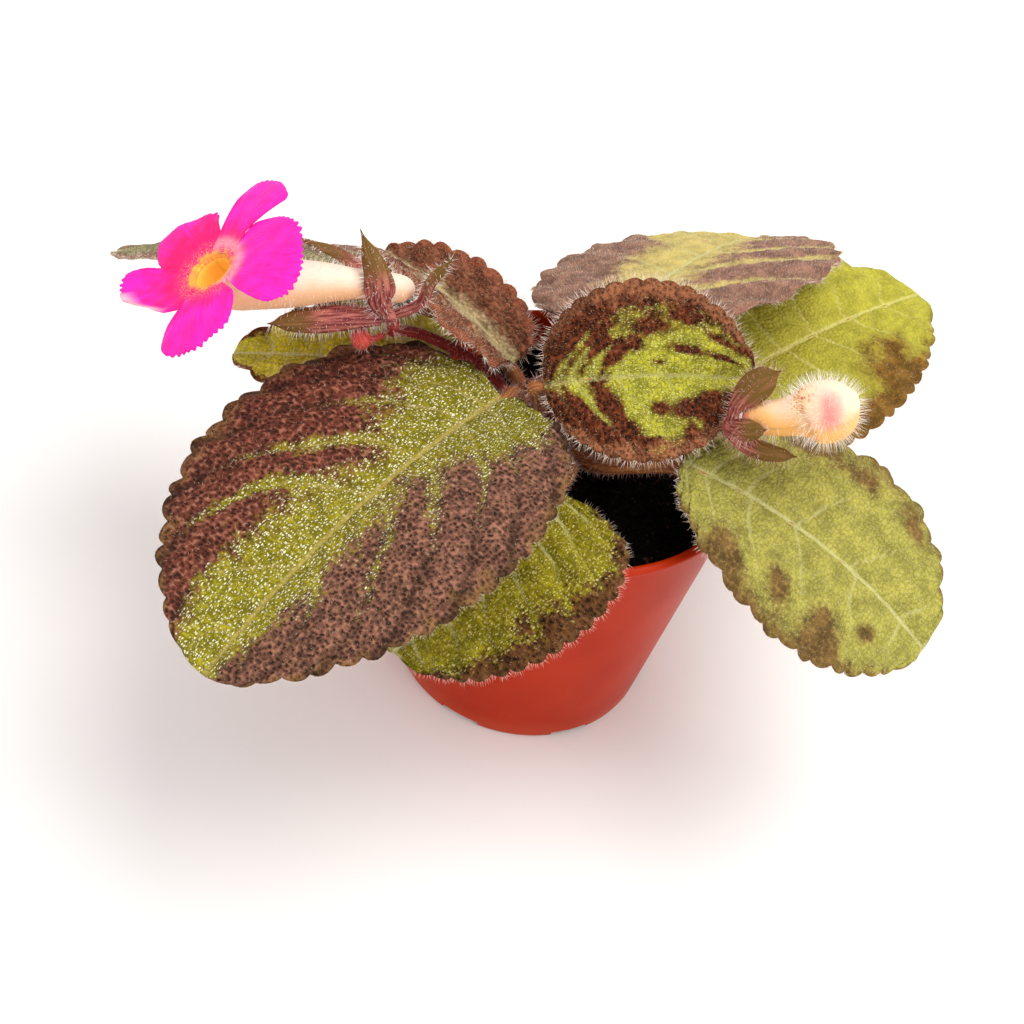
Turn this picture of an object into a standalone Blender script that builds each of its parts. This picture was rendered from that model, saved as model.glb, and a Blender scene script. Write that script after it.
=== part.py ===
"""A flame violet in a small terracotta-coloured pot.

Sizes are in millimetres with +Z up, and angles in degrees. Every point is given
from the pot's axis at its foot; X runs to the viewer's right and Y away from the
viewer. The last step sets the whole about the middle of its own outline.
"""
import math
import random
from dataclasses import dataclass

import bmesh
import bpy
import numpy as np
from mathutils import Vector

MM = 0.001
SEED = 7
GAP = 0.35
SEAT_GAP = 0.5
RUN_IN = 1.5

# Pot, turned about its axis
POT_HEIGHT = 53.0
POT_STEPS = 42
RIM_RADIUS = 30.0
RIM_DEPTH = 1.3
RIM_STEP = 0.9
FOOT_RADIUS = 22.6
FOOT_WIDTH = 1.6
FOOT_HEIGHT = 1.4
WALL = 0.9
FLOOR_TOP = 2.6
FLOOR_CORNER = 1.2
LIP_EDGE = 0.4
LIP_INSIDE = 1.4
NOTCH_COUNT = 7
NOTCH_WIDTH = 7.0
NOTCH_HEIGHT = 1.0
NOTCH_LENGTH = 8.0
NOTCH_ANGLE = -108.0
DRAIN_COUNT = 4
DRAIN_RADIUS = 3.0
DRAIN_RING = 13.0

# Soil
SOIL_TOP = 47.0
SOIL_LUMP = 0.6
SOIL_GAP = 0.5
SOIL_WAVES = 6
SOIL_RINGS = 6
SOIL_STEPS = 32
STEM_HOLE_RADIUS = 4.6
STEM_HOLE_FLOOR = 37.0

# Crown stem: points and radii from the soil up
STEM = (
    (-1.5, -1.8, 38.0, 4.0),
    (-1.5, -1.8, 48.0, 4.0),
    (-2.6, -1.7, 53.0, 3.8),
    (-4.8, -1.4, 57.5, 3.5),
    (-7.0, -1.1, 61.0, 3.0),
    (-8.0, -1.0, 62.6, 1.9),
)
STEM_SIDES = 12

# Leaves
BLADE = 0.7
QUILT = 0.45
VEIN_SINK = 0.25
LEAF_STRIPS = 2
ROWS_A_TOOTH = 3
LATERAL_LEAN = 1.6
LATERAL_ARCH = 1.15
RIB_INSIDE = 0.3
FOLD_EASE = 5.0
OUTLINE_START = 5
SPINE_STEP = 0.12
TOOTH_IN = 0.55
TOOTH_OUT = 0.45
SLIMMEST = 0.3
WAVE_RATE = 4.1
BUMP_REACH = 0.9
RIB_TIP_RADIUS = 0.5
RIB_SHARES = (0.85, 0.6, 0.35, 0.15, 0.0)
PETIOLE_SIDES = 6


@dataclass(frozen=True)
class Leaf:
    """One leaf: where its blade starts, how its midrib runs and how it is cut."""

    name: str
    base: tuple
    heading: float
    turn: float
    pitch: float
    tip_pitch: float
    roll: float
    twist: float
    length: float
    width: float
    fold: float
    bow_radius: float
    skew: float
    sinus: float
    low: float
    blunt: float
    point: float
    teeth: int
    tooth: float
    wave: float
    seat_angle: float
    seat_height: float
    stalk: tuple = ()
    stalk_radius: float = 1.2


LEAVES = (
    Leaf("leaf_front_left", (-12.5, -9.5, 66.0), 238, 7, 3, -26, 5, -2, 65.5, 55.0, 9, 65,
         -0.10, 0.15, 0.00, 1.00, 0.70, 14, 1.0, 0.6, 226, 57.0, ((-10.6, -5.2, 62.8),), 1.4),
    Leaf("leaf_low_front", (-1.5, -19.5, 59.5), 234, -2, -7, -62, -8, -2, 36.5, 39.0, 5, 90,
         0.05, 0.30, 0.05, 0.80, 0.50, 10, 0.9, 0.6, 272, 53.0, ((0.5, -12.0, 57.0),)),
    Leaf("leaf_left", (-23.5, 3.5, 57.0), 182, -1, -7, -18, 1, 0, 35.0, 29.0, 12, 150,
         0.0, 0.30, 0.20, 0.80, 0.75, 9, 0.9, 0.5, 172, 51.5, ((-14.0, 2.0, 54.2),)),
    Leaf("leaf_back_left", (-32.5, 11.5, 63.5), 172, 1, -3, -25, 24, 0, 52.5, 28.0, 7, 200,
         0.0, 0.30, 0.15, 0.80, 0.55, 10, 0.8, 0.4, 142, 54.8,
         ((-22.0, 9.0, 62.0), (-12.0, 4.5, 58.6))),
    Leaf("leaf_back_folded", (-12.1, 2.2, 62.8), 149, 2, 22, -7, 3, 2, 29.5, 23.5, 34, 200,
         0.30, 0.05, 0.10, 0.80, 0.60, 7, 1.3, 0.5, 160, 60.8, (), 1.0),
    Leaf("leaf_centre", (-6.5, -9.0, 70.0), 22, 2, 11, -13, 41, 3, 35.0, 29.0, 11, 87,
         0.05, 0.00, 0.00, 0.85, 0.85, 10, 0.8, 0.4, 278, 59.8, ((-7.4, -7.6, 66.0),), 1.0),
    Leaf("leaf_back", (0.0, 11.5, 67.2), 62, 5, 2, -32, -29, 5, 61.5, 50.5, 4, 118,
         0.0, 0.05, 0.05, 0.80, 0.60, 13, 1.0, 0.5, 80, 59.0, ((-3.0, 6.0, 64.5),)),
    Leaf("leaf_back_right", (23.0, 16.2, 57.3), 53, -3, 4, -14, 2, 1, 54.0, 44.0, 4, 105,
         0.05, 0.30, 0.20, 0.80, 0.80, 12, 1.0, 0.5, 38, 53.4,
         ((14.0, 10.0, 56.8), (6.0, 4.0, 54.6))),
    Leaf("leaf_right", (17.5, -8.0, 60.5), -12, -7, -1, -36, 0, 13, 49.5, 41.0, 6, 118,
         0.0, 0.00, -0.10, 0.95, 0.55, 12, 1.0, 0.5, 318, 51.5,
         ((11.5, -8.8, 58.4), (5.5, -8.4, 55.8)), 1.45),
)

# Open flower: the tube's points and radii from its spur to the throat
TUBE = (
    (-29.6, -3.4, 77.0, 1.2),
    (-31.0, -3.9, 77.5, 2.1),
    (-34.0, -4.9, 77.9, 2.3),
    (-37.5, -6.0, 78.2, 2.3),
    (-42.0, -7.5, 78.3, 3.0),
    (-46.5, -9.3, 78.2, 3.6),
    (-51.0, -11.1, 78.1, 3.8),
)
TUBE_END_RADIUS = 3.6
TUBE_SIDES = 12
THROAT = (-58.2, -13.6, 80.4)
THROAT_FACING = (-0.58, -0.15, 0.80)
THROAT_RADIUS = 3.0
THROAT_DEPTHS = ((-3.0, 3.3), (0.0, 2.8), (2.5, 2.6), (6.0, 2.6), (10.0, 1.8))
BEND_RADIUS = 5.0
BEND_STEPS = 5
THROAT_RUN = 0.8
LIMB_THICK = 0.7
COLLAR_OUTER = 5.0
LOBE_START = 3.7
LOBE_FOOT = 2.3
LOBE_SWELL = 1.15
LOBE_ROUND = 0.24
LOBE_ROWS = 3
LOBE_COLUMNS = 10
LOBE_TOOTH = 0.7


@dataclass(frozen=True)
class Lobe:
    """One lobe of the flower's limb, by its direction round the throat."""

    angle: float
    reach: float
    width: float
    lift: float
    tip_lift: float
    sag: float


LOBES = (
    Lobe(152, 17.6, 9.6, 14, -18, -0.5),
    Lobe(80, 15.6, 14.6, 10, -12, -0.8),
    Lobe(-11, 15.4, 11.6, 8, -24, -0.6),
    Lobe(-93, 15.8, 11.0, 10, 20, 0.9),
    Lobe(-155, 14.8, 13.0, 16, -6, -0.6),
)

# Sepals by centre-line points, widths and the way they face
SEPAL_THICK = 0.6
SEPAL_POINTS = 7
SEPAL_DISH = 0.12
FLOWER_CUP = (-32.0, -6.6, 74.1, 1.2)
FLOWER_SEPALS = (
    (((-32.2, -7.3, 74.7), (-33.3, -8.7, 78.1), (-34.6, -7.4, 81.9), (-39.0, -1.4, 84.9)),
     (2.4, 3.4, 4.8, 3.6, 0.8), (0.1, -0.75, 0.65)),
    (((-31.3, -6.8, 74.3), (-27.6, -6.0, 77.1), (-26.4, -5.6, 81.5), (-24.5, -3.9, 85.5)),
     (1.8, 2.2, 2.6, 2.4, 0.8), (0.7, -0.6, 0.4)),
    (((-32.2, -5.8, 73.5), (-35.6, -0.6, 75.2), (-41.5, 0.2, 78.2), (-47.2, -1.4, 80.0)),
     (2.2, 3.0, 3.6, 3.2, 0.9), (-0.1, 0.1, 1.0)),
    (((-33.0, -7.2, 73.7), (-38.0, -9.8, 74.3), (-43.5, -12.2, 74.1), (-49.0, -14.8, 73.9)),
     (2.2, 3.4, 4.2, 3.4, 1.0), (-0.1, -0.8, 0.6)),
    (((-32.6, -5.8, 73.1), (-36.0, -5.8, 72.3), (-39.5, -5.8, 71.9), (-42.5, -6.0, 71.5)),
     (2.0, 2.8, 3.2, 2.6, 0.8), (-0.2, -0.5, 0.8)),
)
FLOWER_STALK = (
    (-31.2, -5.9, 72.1, 0.95),
    (-31.6, -3.6, 68.4, 0.9),
    (-30.6, 0.4, 65.4, 0.9),
    (-25.8, 3.7, 62.3, 0.9),
    (-17.0, 2.4, 60.2, 0.9),
)
FLOWER_STALK_SEAT = (176, 57.2)
YOUNG_BUD = (-35.6, -7.6, 68.8)
YOUNG_BUD_SIZE = (1.7, 1.6, 2.0)
YOUNG_STALK = (
    (-35.4, -7.2, 67.8, 0.7),
    (-34.8, -5.4, 66.7, 0.55),
    (-32.8, -2.9, 66.6, 0.5),
)

# Hairy bud
BUD = (
    (24.7, -5.2, 69.7, 0.9),
    (25.6, -5.2, 70.1, 2.0),
    (27.5, -5.0, 70.8, 2.8),
    (30.0, -5.0, 71.8, 3.1),
    (32.4, -4.8, 73.0, 3.6),
    (34.5, -4.7, 74.1, 4.5),
    (36.5, -4.5, 74.9, 4.8),
    (38.6, -4.4, 75.9, 4.3),
    (40.2, -4.3, 76.7, 2.8),
    (40.9, -4.3, 77.0, 1.0),
)
BUD_SIDES = 12
BUD_CUP = (23.0, -5.6, 67.9, 1.15)
BUD_SEPALS = (
    (((22.8, -5.6, 68.4), (23.0, -5.3, 72.6), (25.1, -3.7, 76.2), (28.0, -2.2, 78.6)),
     (1.8, 2.2, 4.8, 4.6, 1.2), (-0.2, -0.6, 0.8)),
    (((22.8, -5.8, 68.0), (24.0, -8.3, 70.2), (26.0, -9.1, 71.4), (28.0, -9.2, 72.4)),
     (2.0, 3.2, 3.6, 2.6, 0.8), (0.0, -0.8, 0.6)),
    (((22.9, -5.7, 67.3), (26.0, -7.9, 67.2), (30.0, -8.9, 67.6), (34.0, -8.7, 68.0)),
     (2.0, 2.6, 3.0, 2.4, 1.0), (0.1, -0.8, 0.6)),
    (((22.9, -4.8, 67.6), (26.6, -3.0, 67.7), (30.6, -2.0, 67.9), (34.0, -1.2, 68.4)),
     (2.0, 2.6, 3.0, 2.2, 0.8), (0.1, 0.2, 1.0)),
)
BUD_STALK = (
    (23.4, -5.0, 66.0, 0.8),
    (24.0, -3.6, 64.3, 0.8),
    (21.4, -0.8, 63.0, 0.8),
    (15.0, 0.6, 61.4, 0.8),
    (8.0, 0.6, 59.4, 0.8),
)
BUD_STALK_SEAT = (12, 57.5)
STALK_SIDES = 8

COLOURS = {
    "pot": (0.70, 0.22, 0.09),
    "soil": (0.03, 0.022, 0.018),
    "stem": (0.30, 0.10, 0.07),
    "leaf_front_left": (0.20, 0.15, 0.09),
    "leaf_low_front": (0.17, 0.20, 0.06),
    "leaf_left": (0.18, 0.22, 0.05),
    "leaf_back_left": (0.25, 0.20, 0.12),
    "leaf_back_folded": (0.18, 0.09, 0.06),
    "leaf_centre": (0.28, 0.30, 0.08),
    "leaf_back": (0.24, 0.16, 0.13),
    "leaf_back_right": (0.26, 0.30, 0.08),
    "leaf_right": (0.28, 0.32, 0.12),
    "flower_tube": (0.90, 0.74, 0.58),
    "flower_limb": (0.90, 0.05, 0.45),
    "flower_sepals": (0.42, 0.10, 0.08),
    "flower_stalk": (0.50, 0.14, 0.11),
    "young_bud": (0.75, 0.18, 0.12),
    "bud": (0.92, 0.66, 0.48),
    "bud_sepals": (0.35, 0.14, 0.10),
    "bud_stalk": (0.40, 0.15, 0.12),
}


def start():
    """Empty the scene and return the collections for the plant and its cutters."""
    for thing in list(bpy.data.objects):
        bpy.data.objects.remove(thing, do_unlink=True)
    plant = bpy.data.collections.new("potted_flame_violet")
    cutters = bpy.data.collections.new("cutters")
    bpy.context.scene.collection.children.link(plant)
    bpy.context.scene.collection.children.link(cutters)
    return plant, cutters


PLANT, CUTTERS = start()


def unit(vector):
    """A numpy vector made one long."""
    vector = np.asarray(vector, float)
    return vector / np.linalg.norm(vector)


def add_object(name, mesh, cutter=False):
    """Link a mesh as a node, or as a cutter, and return its object."""
    thing = bpy.data.objects.new(name, mesh)
    (CUTTERS if cutter else PLANT).objects.link(thing)
    if cutter:
        thing.hide_render = True
        thing.display_type = "WIRE"
    return thing


def mesh_of(name, points, faces):
    """A mesh from points in millimetres."""
    mesh = bpy.data.meshes.new(name)
    mesh.from_pydata([tuple(MM * float(c) for c in p) for p in points], [], faces)
    mesh.update()
    return mesh


def apply_modifiers(thing):
    """Turn the object's modifiers into its own mesh."""
    graph = bpy.context.evaluated_depsgraph_get()
    graph.update()
    mesh = bpy.data.meshes.new_from_object(thing.evaluated_get(graph))
    thing.modifiers.clear()
    thing.data = mesh
    return thing


def weld(mesh, distance=0.00002):
    """Join the points of a mesh that lie on one another."""
    work = bmesh.new()
    work.from_mesh(mesh)
    bmesh.ops.remove_doubles(work, verts=work.verts, dist=distance)
    bmesh.ops.recalc_face_normals(work, faces=work.faces)
    work.to_mesh(mesh)
    work.free()
    return mesh


def combine(thing, others, operation):
    """Join other closed bodies to a body, or cut them from it, and drop them."""
    for other in others:
        modifier = thing.modifiers.new("combine", "BOOLEAN")
        modifier.operation = operation
        modifier.solver = "EXACT"
        modifier.object = other
        apply_modifiers(thing)
    for other in others:
        bpy.data.objects.remove(other, do_unlink=True)
    return thing


def tube(name, points, sides, cutter=False):
    """A round closed tube through (x, y, z, radius) points."""
    curve = bpy.data.curves.new(name, "CURVE")
    curve.dimensions = "3D"
    curve.bevel_depth = MM
    curve.bevel_resolution = sides // 2 - 2
    curve.use_fill_caps = True
    spline = curve.splines.new("POLY")
    spline.points.add(len(points) - 1)
    for knot, (x, y, z, radius) in zip(spline.points, points):
        knot.co = (x * MM, y * MM, z * MM, 1.0)
        knot.radius = radius
    holder = bpy.data.objects.new(name, curve)
    CUTTERS.objects.link(holder)
    graph = bpy.context.evaluated_depsgraph_get()
    graph.update()
    mesh = bpy.data.meshes.new_from_object(holder.evaluated_get(graph))
    bpy.data.objects.remove(holder, do_unlink=True)
    return add_object(name, weld(mesh), cutter)


def ball(name, centre, radii, cutter=True, segments=10, rings=6):
    """A round or egg-shaped closed body."""
    bpy.ops.mesh.primitive_uv_sphere_add(segments=segments, ring_count=rings, radius=1.0)
    made = bpy.context.active_object
    mesh = made.data.copy()
    bpy.data.objects.remove(made, do_unlink=True)
    for vertex in mesh.vertices:
        vertex.co = Vector([MM * (centre[i] + radii[i] * vertex.co[i]) for i in range(3)])
    return add_object(name, mesh, cutter)


def smooth_line(points, count):
    """Points along a smooth line through the given ones, of any number of columns."""
    knots = np.array(points, float)
    before = 2 * knots[0] - knots[1]
    after = 2 * knots[-1] - knots[-2]
    knots = np.vstack([before, knots, after])
    spans = len(knots) - 3
    out = []
    for place in np.linspace(0, spans, count):
        i = min(int(place), spans - 1)
        t = place - i
        a, b, c, d = knots[i:i + 4]
        out.append(0.5 * (2 * b + (c - a) * t + (2 * a - 5 * b + 4 * c - d) * t ** 2
                          + (3 * b - a - 3 * c + d) * t ** 3))
    return np.array(out)


def stem_at(height):
    """The crown stem's axis point and radius at a height."""
    knots = np.array(STEM)
    return np.array([np.interp(height, knots[:, 2], knots[:, i]) for i in (0, 1, 2, 3)])


def seat(angle, height):
    """Where a stalk ends, clear of the stem's side, and the way out from there."""
    x, y, z, radius = stem_at(height)
    along = unit(stem_at(height + 1)[:3] - stem_at(height - 1)[:3])
    out = np.array([math.cos(math.radians(angle)), math.sin(math.radians(angle)), 0.0])
    out = unit(out - along * out.dot(along))
    return np.array([x, y, z]) + out * (radius + SEAT_GAP), out


# Pot and soil

def turned(name, profile, steps, cutter=False):
    """A body turned about Z from (radius, height) points."""
    mesh = bpy.data.meshes.new(name)
    mesh.from_pydata([(r * MM, 0, z * MM) for r, z in profile],
                     [(i, i + 1) for i in range(len(profile) - 1)], [])
    thing = add_object(name, mesh, cutter)
    screw = thing.modifiers.new("turn", "SCREW")
    screw.axis = "Z"
    screw.steps = steps
    screw.render_steps = steps
    screw.use_merge_vertices = True
    screw.merge_threshold = 0.0001
    screw.use_normal_calculate = True
    apply_modifiers(thing)
    weld(thing.data)
    return thing


def wall_radius(height):
    """The pot wall's outer radius at a height."""
    top = RIM_RADIUS - RIM_STEP
    return FOOT_RADIUS + (top - FOOT_RADIUS) * height / (POT_HEIGHT - RIM_DEPTH)


def build_pot():
    """The pot: tapered wall, rolled rim, raised floor, notched foot, drain holes."""
    under = POT_HEIGHT - RIM_DEPTH
    profile = [
        (0.0, FLOOR_TOP),
        (wall_radius(FLOOR_TOP) - WALL - FLOOR_CORNER, FLOOR_TOP),
        (wall_radius(FLOOR_TOP + FLOOR_CORNER) - WALL, FLOOR_TOP + FLOOR_CORNER),
        (wall_radius(under) - WALL, under),
        (RIM_RADIUS - LIP_INSIDE, POT_HEIGHT - LIP_EDGE),
        (RIM_RADIUS - LIP_INSIDE + LIP_EDGE, POT_HEIGHT),
        (RIM_RADIUS - LIP_EDGE, POT_HEIGHT),
        (RIM_RADIUS, POT_HEIGHT - LIP_EDGE),
        (RIM_RADIUS, under),
        (wall_radius(under), under - 0.3),
        (wall_radius(0.5), 0.5),
        (FOOT_RADIUS - 0.2, 0.0),
        (FOOT_RADIUS - FOOT_WIDTH, 0.0),
        (FOOT_RADIUS - FOOT_WIDTH - 0.2, FOOT_HEIGHT),
        (0.0, FOOT_HEIGHT),
    ]
    pot = turned("pot", profile, POT_STEPS)
    cuts = []
    for k in range(NOTCH_COUNT):
        angle = math.radians(NOTCH_ANGLE + k * 360 / NOTCH_COUNT)
        bpy.ops.mesh.primitive_cube_add(size=1)
        box = bpy.context.active_object
        mesh = box.data.copy()
        bpy.data.objects.remove(box, do_unlink=True)
        for vertex in mesh.vertices:
            along = FOOT_RADIUS + NOTCH_LENGTH * vertex.co.x
            across = NOTCH_WIDTH * vertex.co.y
            height = 2 * NOTCH_HEIGHT * vertex.co.z
            vertex.co = (MM * (along * math.cos(angle) - across * math.sin(angle)),
                         MM * (along * math.sin(angle) + across * math.cos(angle)), MM * height)
        cuts.append(add_object("notch", mesh, True))
    for k in range(DRAIN_COUNT):
        angle = math.radians(45 + k * 360 / DRAIN_COUNT)
        x, y = DRAIN_RING * math.cos(angle), DRAIN_RING * math.sin(angle)
        ends = ((x, y, FOOT_HEIGHT - 1, DRAIN_RADIUS), (x, y, FLOOR_TOP + 1, DRAIN_RADIUS))
        cuts.append(tube("drain", ends, 12, True))
    return combine(pot, cuts, "DIFFERENCE")


def build_soil():
    """The soil that fills the pot, lumpy on top, with a plain hole for the stem."""
    inner = [(0.0, SOIL_TOP)]
    top_radius = wall_radius(SOIL_TOP) - WALL - SOIL_GAP
    for k in range(1, SOIL_RINGS + 1):
        inner.append((top_radius * k / SOIL_RINGS, SOIL_TOP))
    low = FLOOR_TOP + SOIL_GAP
    profile = inner + [
        (wall_radius(low + FLOOR_CORNER) - WALL - SOIL_GAP, low + FLOOR_CORNER),
        (wall_radius(low) - WALL - SOIL_GAP - FLOOR_CORNER, low),
        (0.0, low),
    ]
    soil = turned("soil", profile, SOIL_STEPS)
    random.seed(SEED)
    waves = [(random.uniform(0.25, 0.9), random.uniform(0, 2 * math.pi),
              random.uniform(0, 2 * math.pi)) for _ in range(SOIL_WAVES)]
    for vertex in soil.data.vertices:
        x, y, z = vertex.co / MM
        if z > SOIL_TOP - 0.1:
            lump = sum(math.sin(f * (x * math.cos(d) + y * math.sin(d)) + p)
                       for f, d, p in waves)
            vertex.co.z += MM * SOIL_LUMP * lump * 2 / SOIL_WAVES
    x, y = STEM[0][:2]
    hole = tube("hole", ((x, y, STEM_HOLE_FLOOR, STEM_HOLE_RADIUS),
                         (x, y, SOIL_TOP + 6, STEM_HOLE_RADIUS)), 14, True)
    return combine(soil, [hole], "DIFFERENCE")


# Leaves

def midrib_frame(leaf):
    """Distances along the midrib, its points and its directions, in millimetres."""
    run = np.linspace(-0.3 * leaf.length, leaf.length, 60)
    share = np.clip(run / leaf.length, 0, 1)
    pitch = np.radians(leaf.pitch + (leaf.tip_pitch - leaf.pitch) * share)
    heading = np.radians(leaf.heading + leaf.turn * share)
    ahead = np.stack([np.cos(heading) * np.cos(pitch), np.sin(heading) * np.cos(pitch),
                      np.sin(pitch)], -1)
    step = run[1] - run[0]
    line = np.vstack([np.zeros(3), np.cumsum((ahead[1:] + ahead[:-1]) / 2 * step, 0)])
    start_point = np.array([np.interp(0, run, line[:, i]) for i in range(3)])
    return run, line - start_point + np.array(leaf.base), ahead


def on_blade(leaf, frame, u, v, side):
    """A point on the blade, and its upward normal.

    u is the distance along the midrib and v the distance out from it.
    """
    run, line, ahead = frame
    centre = np.array([np.interp(u, run, line[:, i]) for i in range(3)])
    along = unit([np.interp(u, run, ahead[:, i]) for i in range(3)])
    share = min(max(u / leaf.length, 0), 1)
    heading = math.radians(leaf.heading + leaf.turn * share)
    flat = np.array([-math.sin(heading), math.cos(heading), 0.0])
    up = np.cross(along, flat)
    roll = math.radians(leaf.roll + leaf.twist * share)
    across = math.cos(roll) * flat + math.sin(roll) * up
    normal = math.cos(roll) * up - math.sin(roll) * flat
    out = v * (1 + side * leaf.skew)
    first = math.radians(leaf.fold)
    last = first - out / leaf.bow_radius
    sideways = (math.sin(first) - math.sin(last)) * leaf.bow_radius
    rise = (math.cos(last) - math.cos(first)) * leaf.bow_radius
    point = centre + side * across * sideways + normal * rise
    tilt = first * min(1.0, v / FOLD_EASE) - out / leaf.bow_radius
    return point, normal * math.cos(tilt) - side * across * math.sin(tilt)


def half_outline(leaf, count=240):
    """The plain half outline, from beside the stalk round to the tip."""
    f = np.linspace(0, math.pi, count)
    rise = (1 - np.cos(f)) / 2
    u = rise - leaf.sinus * np.sin(f) * ((1 + np.cos(f)) / 2) ** 1.5
    v = 0.5 * np.sin(f).clip(0) ** leaf.blunt
    v = v * (1 + leaf.low * np.cos(f) - 0.5 * leaf.point * rise ** 4)
    u, v = u * leaf.length, v * leaf.width
    first = max(OUTLINE_START, int(np.argmax(np.arctan2(v[1:], u[1:]))) + 1)
    return f[first:], u[first:], v[first:]


@dataclass(frozen=True)
class Row:
    """A line across half the blade, from the midrib out to the margin."""

    valley: bool
    mid: float
    u: float
    v: float
    share: float
    room: float


def leaf_rows(leaf):
    """The rows of one half, three for each scallop of the margin."""
    f, u, v = half_outline(leaf)
    length = np.concatenate([[0], np.cumsum(np.hypot(np.diff(u), np.diff(v)))])
    count = leaf.teeth * ROWS_A_TOOTH
    rows = []
    for k in range(count):
        place = length[-1] * k / count
        fk, uk, vk = (float(np.interp(place, length, values)) for values in (f, u, v))
        nearby = (place - 0.6, place + 0.6)
        du, dv = (np.diff(np.interp(nearby, length, values))[0] for values in (u, v))
        size = math.hypot(du, dv)
        room = min(1.0, (4 * k + 1) / count, 5 * (count - k) / count)
        valley = k % ROWS_A_TOOTH == 0
        bulge = leaf.tooth * (-TOOTH_IN if valley else TOOTH_OUT) * room
        mid = leaf.length * ((1 - math.cos(fk)) / 2) ** LATERAL_LEAN + SPINE_STEP * (k + 1)
        mid = min(mid, leaf.length - SPINE_STEP * (count - k))
        out = max(vk + bulge * du / size, SLIMMEST)
        rows.append(Row(valley, mid, uk - bulge * dv / size, out, k / count, room))
    return rows


def blade_surface(leaf):
    """Points and triangles of the whole blade, its two faces cut alike."""
    frame = midrib_frame(leaf)
    upper, lower, faces, edge = [], [], [], {}

    def put(u, v, side, lift):
        point, facing = on_blade(leaf, frame, u, v, side)
        upper.append(point + facing * lift)
        lower.append(point + facing * (lift - BLADE))
        return len(upper) - 1

    base = put(0.0, 0.0, 1, 0.0)
    tip = put(leaf.length, 0.0, 1, 0.0)
    spine = [put(row.mid, 0.0, 1, 0.0) for row in leaf_rows(leaf)]
    for side in (1, -1):
        grid = []
        for row, middle in zip(leaf_rows(leaf), spine):
            line = [middle]
            for j in range(1, LEAF_STRIPS + 1):
                s = j / LEAF_STRIPS
                u = row.mid + (row.u - row.mid) * s ** LATERAL_ARCH
                bump = (-VEIN_SINK if row.valley else QUILT) * row.room
                bump *= math.sin(math.pi * s * BUMP_REACH)
                wave = leaf.wave * s ** 3 * math.sin(WAVE_RATE * leaf.teeth * row.share + side)
                line.append(put(u, row.v * s, side, bump + wave))
            grid.append(line)
        found = []
        for here, following in zip(grid, grid[1:]):
            for j in range(LEAF_STRIPS):
                found += [(here[j], following[j], following[j + 1]),
                          (here[j], following[j + 1], here[j + 1])]
        for j in range(LEAF_STRIPS):
            found.append((base, grid[0][j], grid[0][j + 1]))
            found.append((grid[-1][j], tip, grid[-1][j + 1]))
        faces += [t if side > 0 else t[::-1] for t in found]
        rim = [base] + [line[-1] for line in grid] + [tip]
        edge[side] = rim
    count = len(upper)
    under = [tuple(count + i for i in t[::-1]) for t in faces]
    loop = edge[1] + edge[-1][-2:0:-1]
    wall = []
    for a, b in zip(loop, loop[1:] + loop[:1]):
        wall += [(a, b, count + b), (a, count + b, count + a)]
    return upper + lower, faces + under + wall


def build_leaf(leaf):
    """A leaf: quilted, wavy-edged blade, with the rib beneath it and its stalk."""
    points, faces = blade_surface(leaf)
    blade = add_object(leaf.name, mesh_of(leaf.name, points, faces))
    frame = midrib_frame(leaf)
    line = []
    for share in RIB_SHARES:
        radius = RIB_TIP_RADIUS + (leaf.stalk_radius - RIB_TIP_RADIUS) * (1 - share) ** 1.5
        point, facing = on_blade(leaf, frame, share * leaf.length, 0.0, 1)
        line.append((*(point - facing * (radius + RIB_INSIDE)), radius))
    end, out = seat(leaf.seat_angle, leaf.seat_height)
    first = np.array(line[-1][:3])
    back = first - frame[2][np.searchsorted(frame[0], 0.0)] * RUN_IN
    route = [first, back] + [np.array(point) for point in leaf.stalk] + [end + out * RUN_IN]
    stalk = smooth_line(route, 2 * len(route) - 1)
    line += [(*point, leaf.stalk_radius) for point in [*stalk[1:], end]]
    petiole = tube("petiole", line, PETIOLE_SIDES, True)
    return combine(blade, [petiole], "UNION")


# Flower and bud

def ribbon(name, line, widths, facing, thick):
    """A thin pointed strap along a line, facing a given way."""
    along = smooth_line(line, SEPAL_POINTS)
    wide = smooth_line([(w, 0) for w in widths], SEPAL_POINTS)[:, 0]
    ahead = np.gradient(along, axis=0)
    points, faces = [], []
    for point, direction, width in zip(along, ahead, wide):
        across = unit(np.cross(unit(direction), unit(facing)))
        normal = np.cross(across, unit(direction))
        for s in (-1, 0, 1):
            points.append(point + across * s * width / 2 - normal * abs(s) * SEPAL_DISH * width)
    for k in range(SEPAL_POINTS - 1):
        for j in range(2):
            a = 3 * k + j
            faces += [(a, a + 1, a + 4), (a, a + 4, a + 3)]
    thing = add_object(name, mesh_of(name, points, faces), True)
    shell = thing.modifiers.new("thickness", "SOLIDIFY")
    shell.thickness = thick * MM
    shell.offset = 0
    shell.use_even_offset = True
    apply_modifiers(thing)
    weld(thing.data)
    return thing


def build_sepals(name, cup, straps):
    """A calyx: five or so straps grown from one small cup."""
    thing = ball(name, cup[:3], (cup[3],) * 3, False, 10, 6)
    pieces = [ribbon("sepal", line, widths, facing, SEPAL_THICK)
              for line, widths, facing in straps]
    return combine(thing, pieces, "UNION")


def limb_axes():
    """The limb's two flat directions and the way it faces."""
    facing = unit(THROAT_FACING)
    first = unit(np.cross((0, 0, 1), facing))
    return first, np.cross(facing, first), facing


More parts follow.
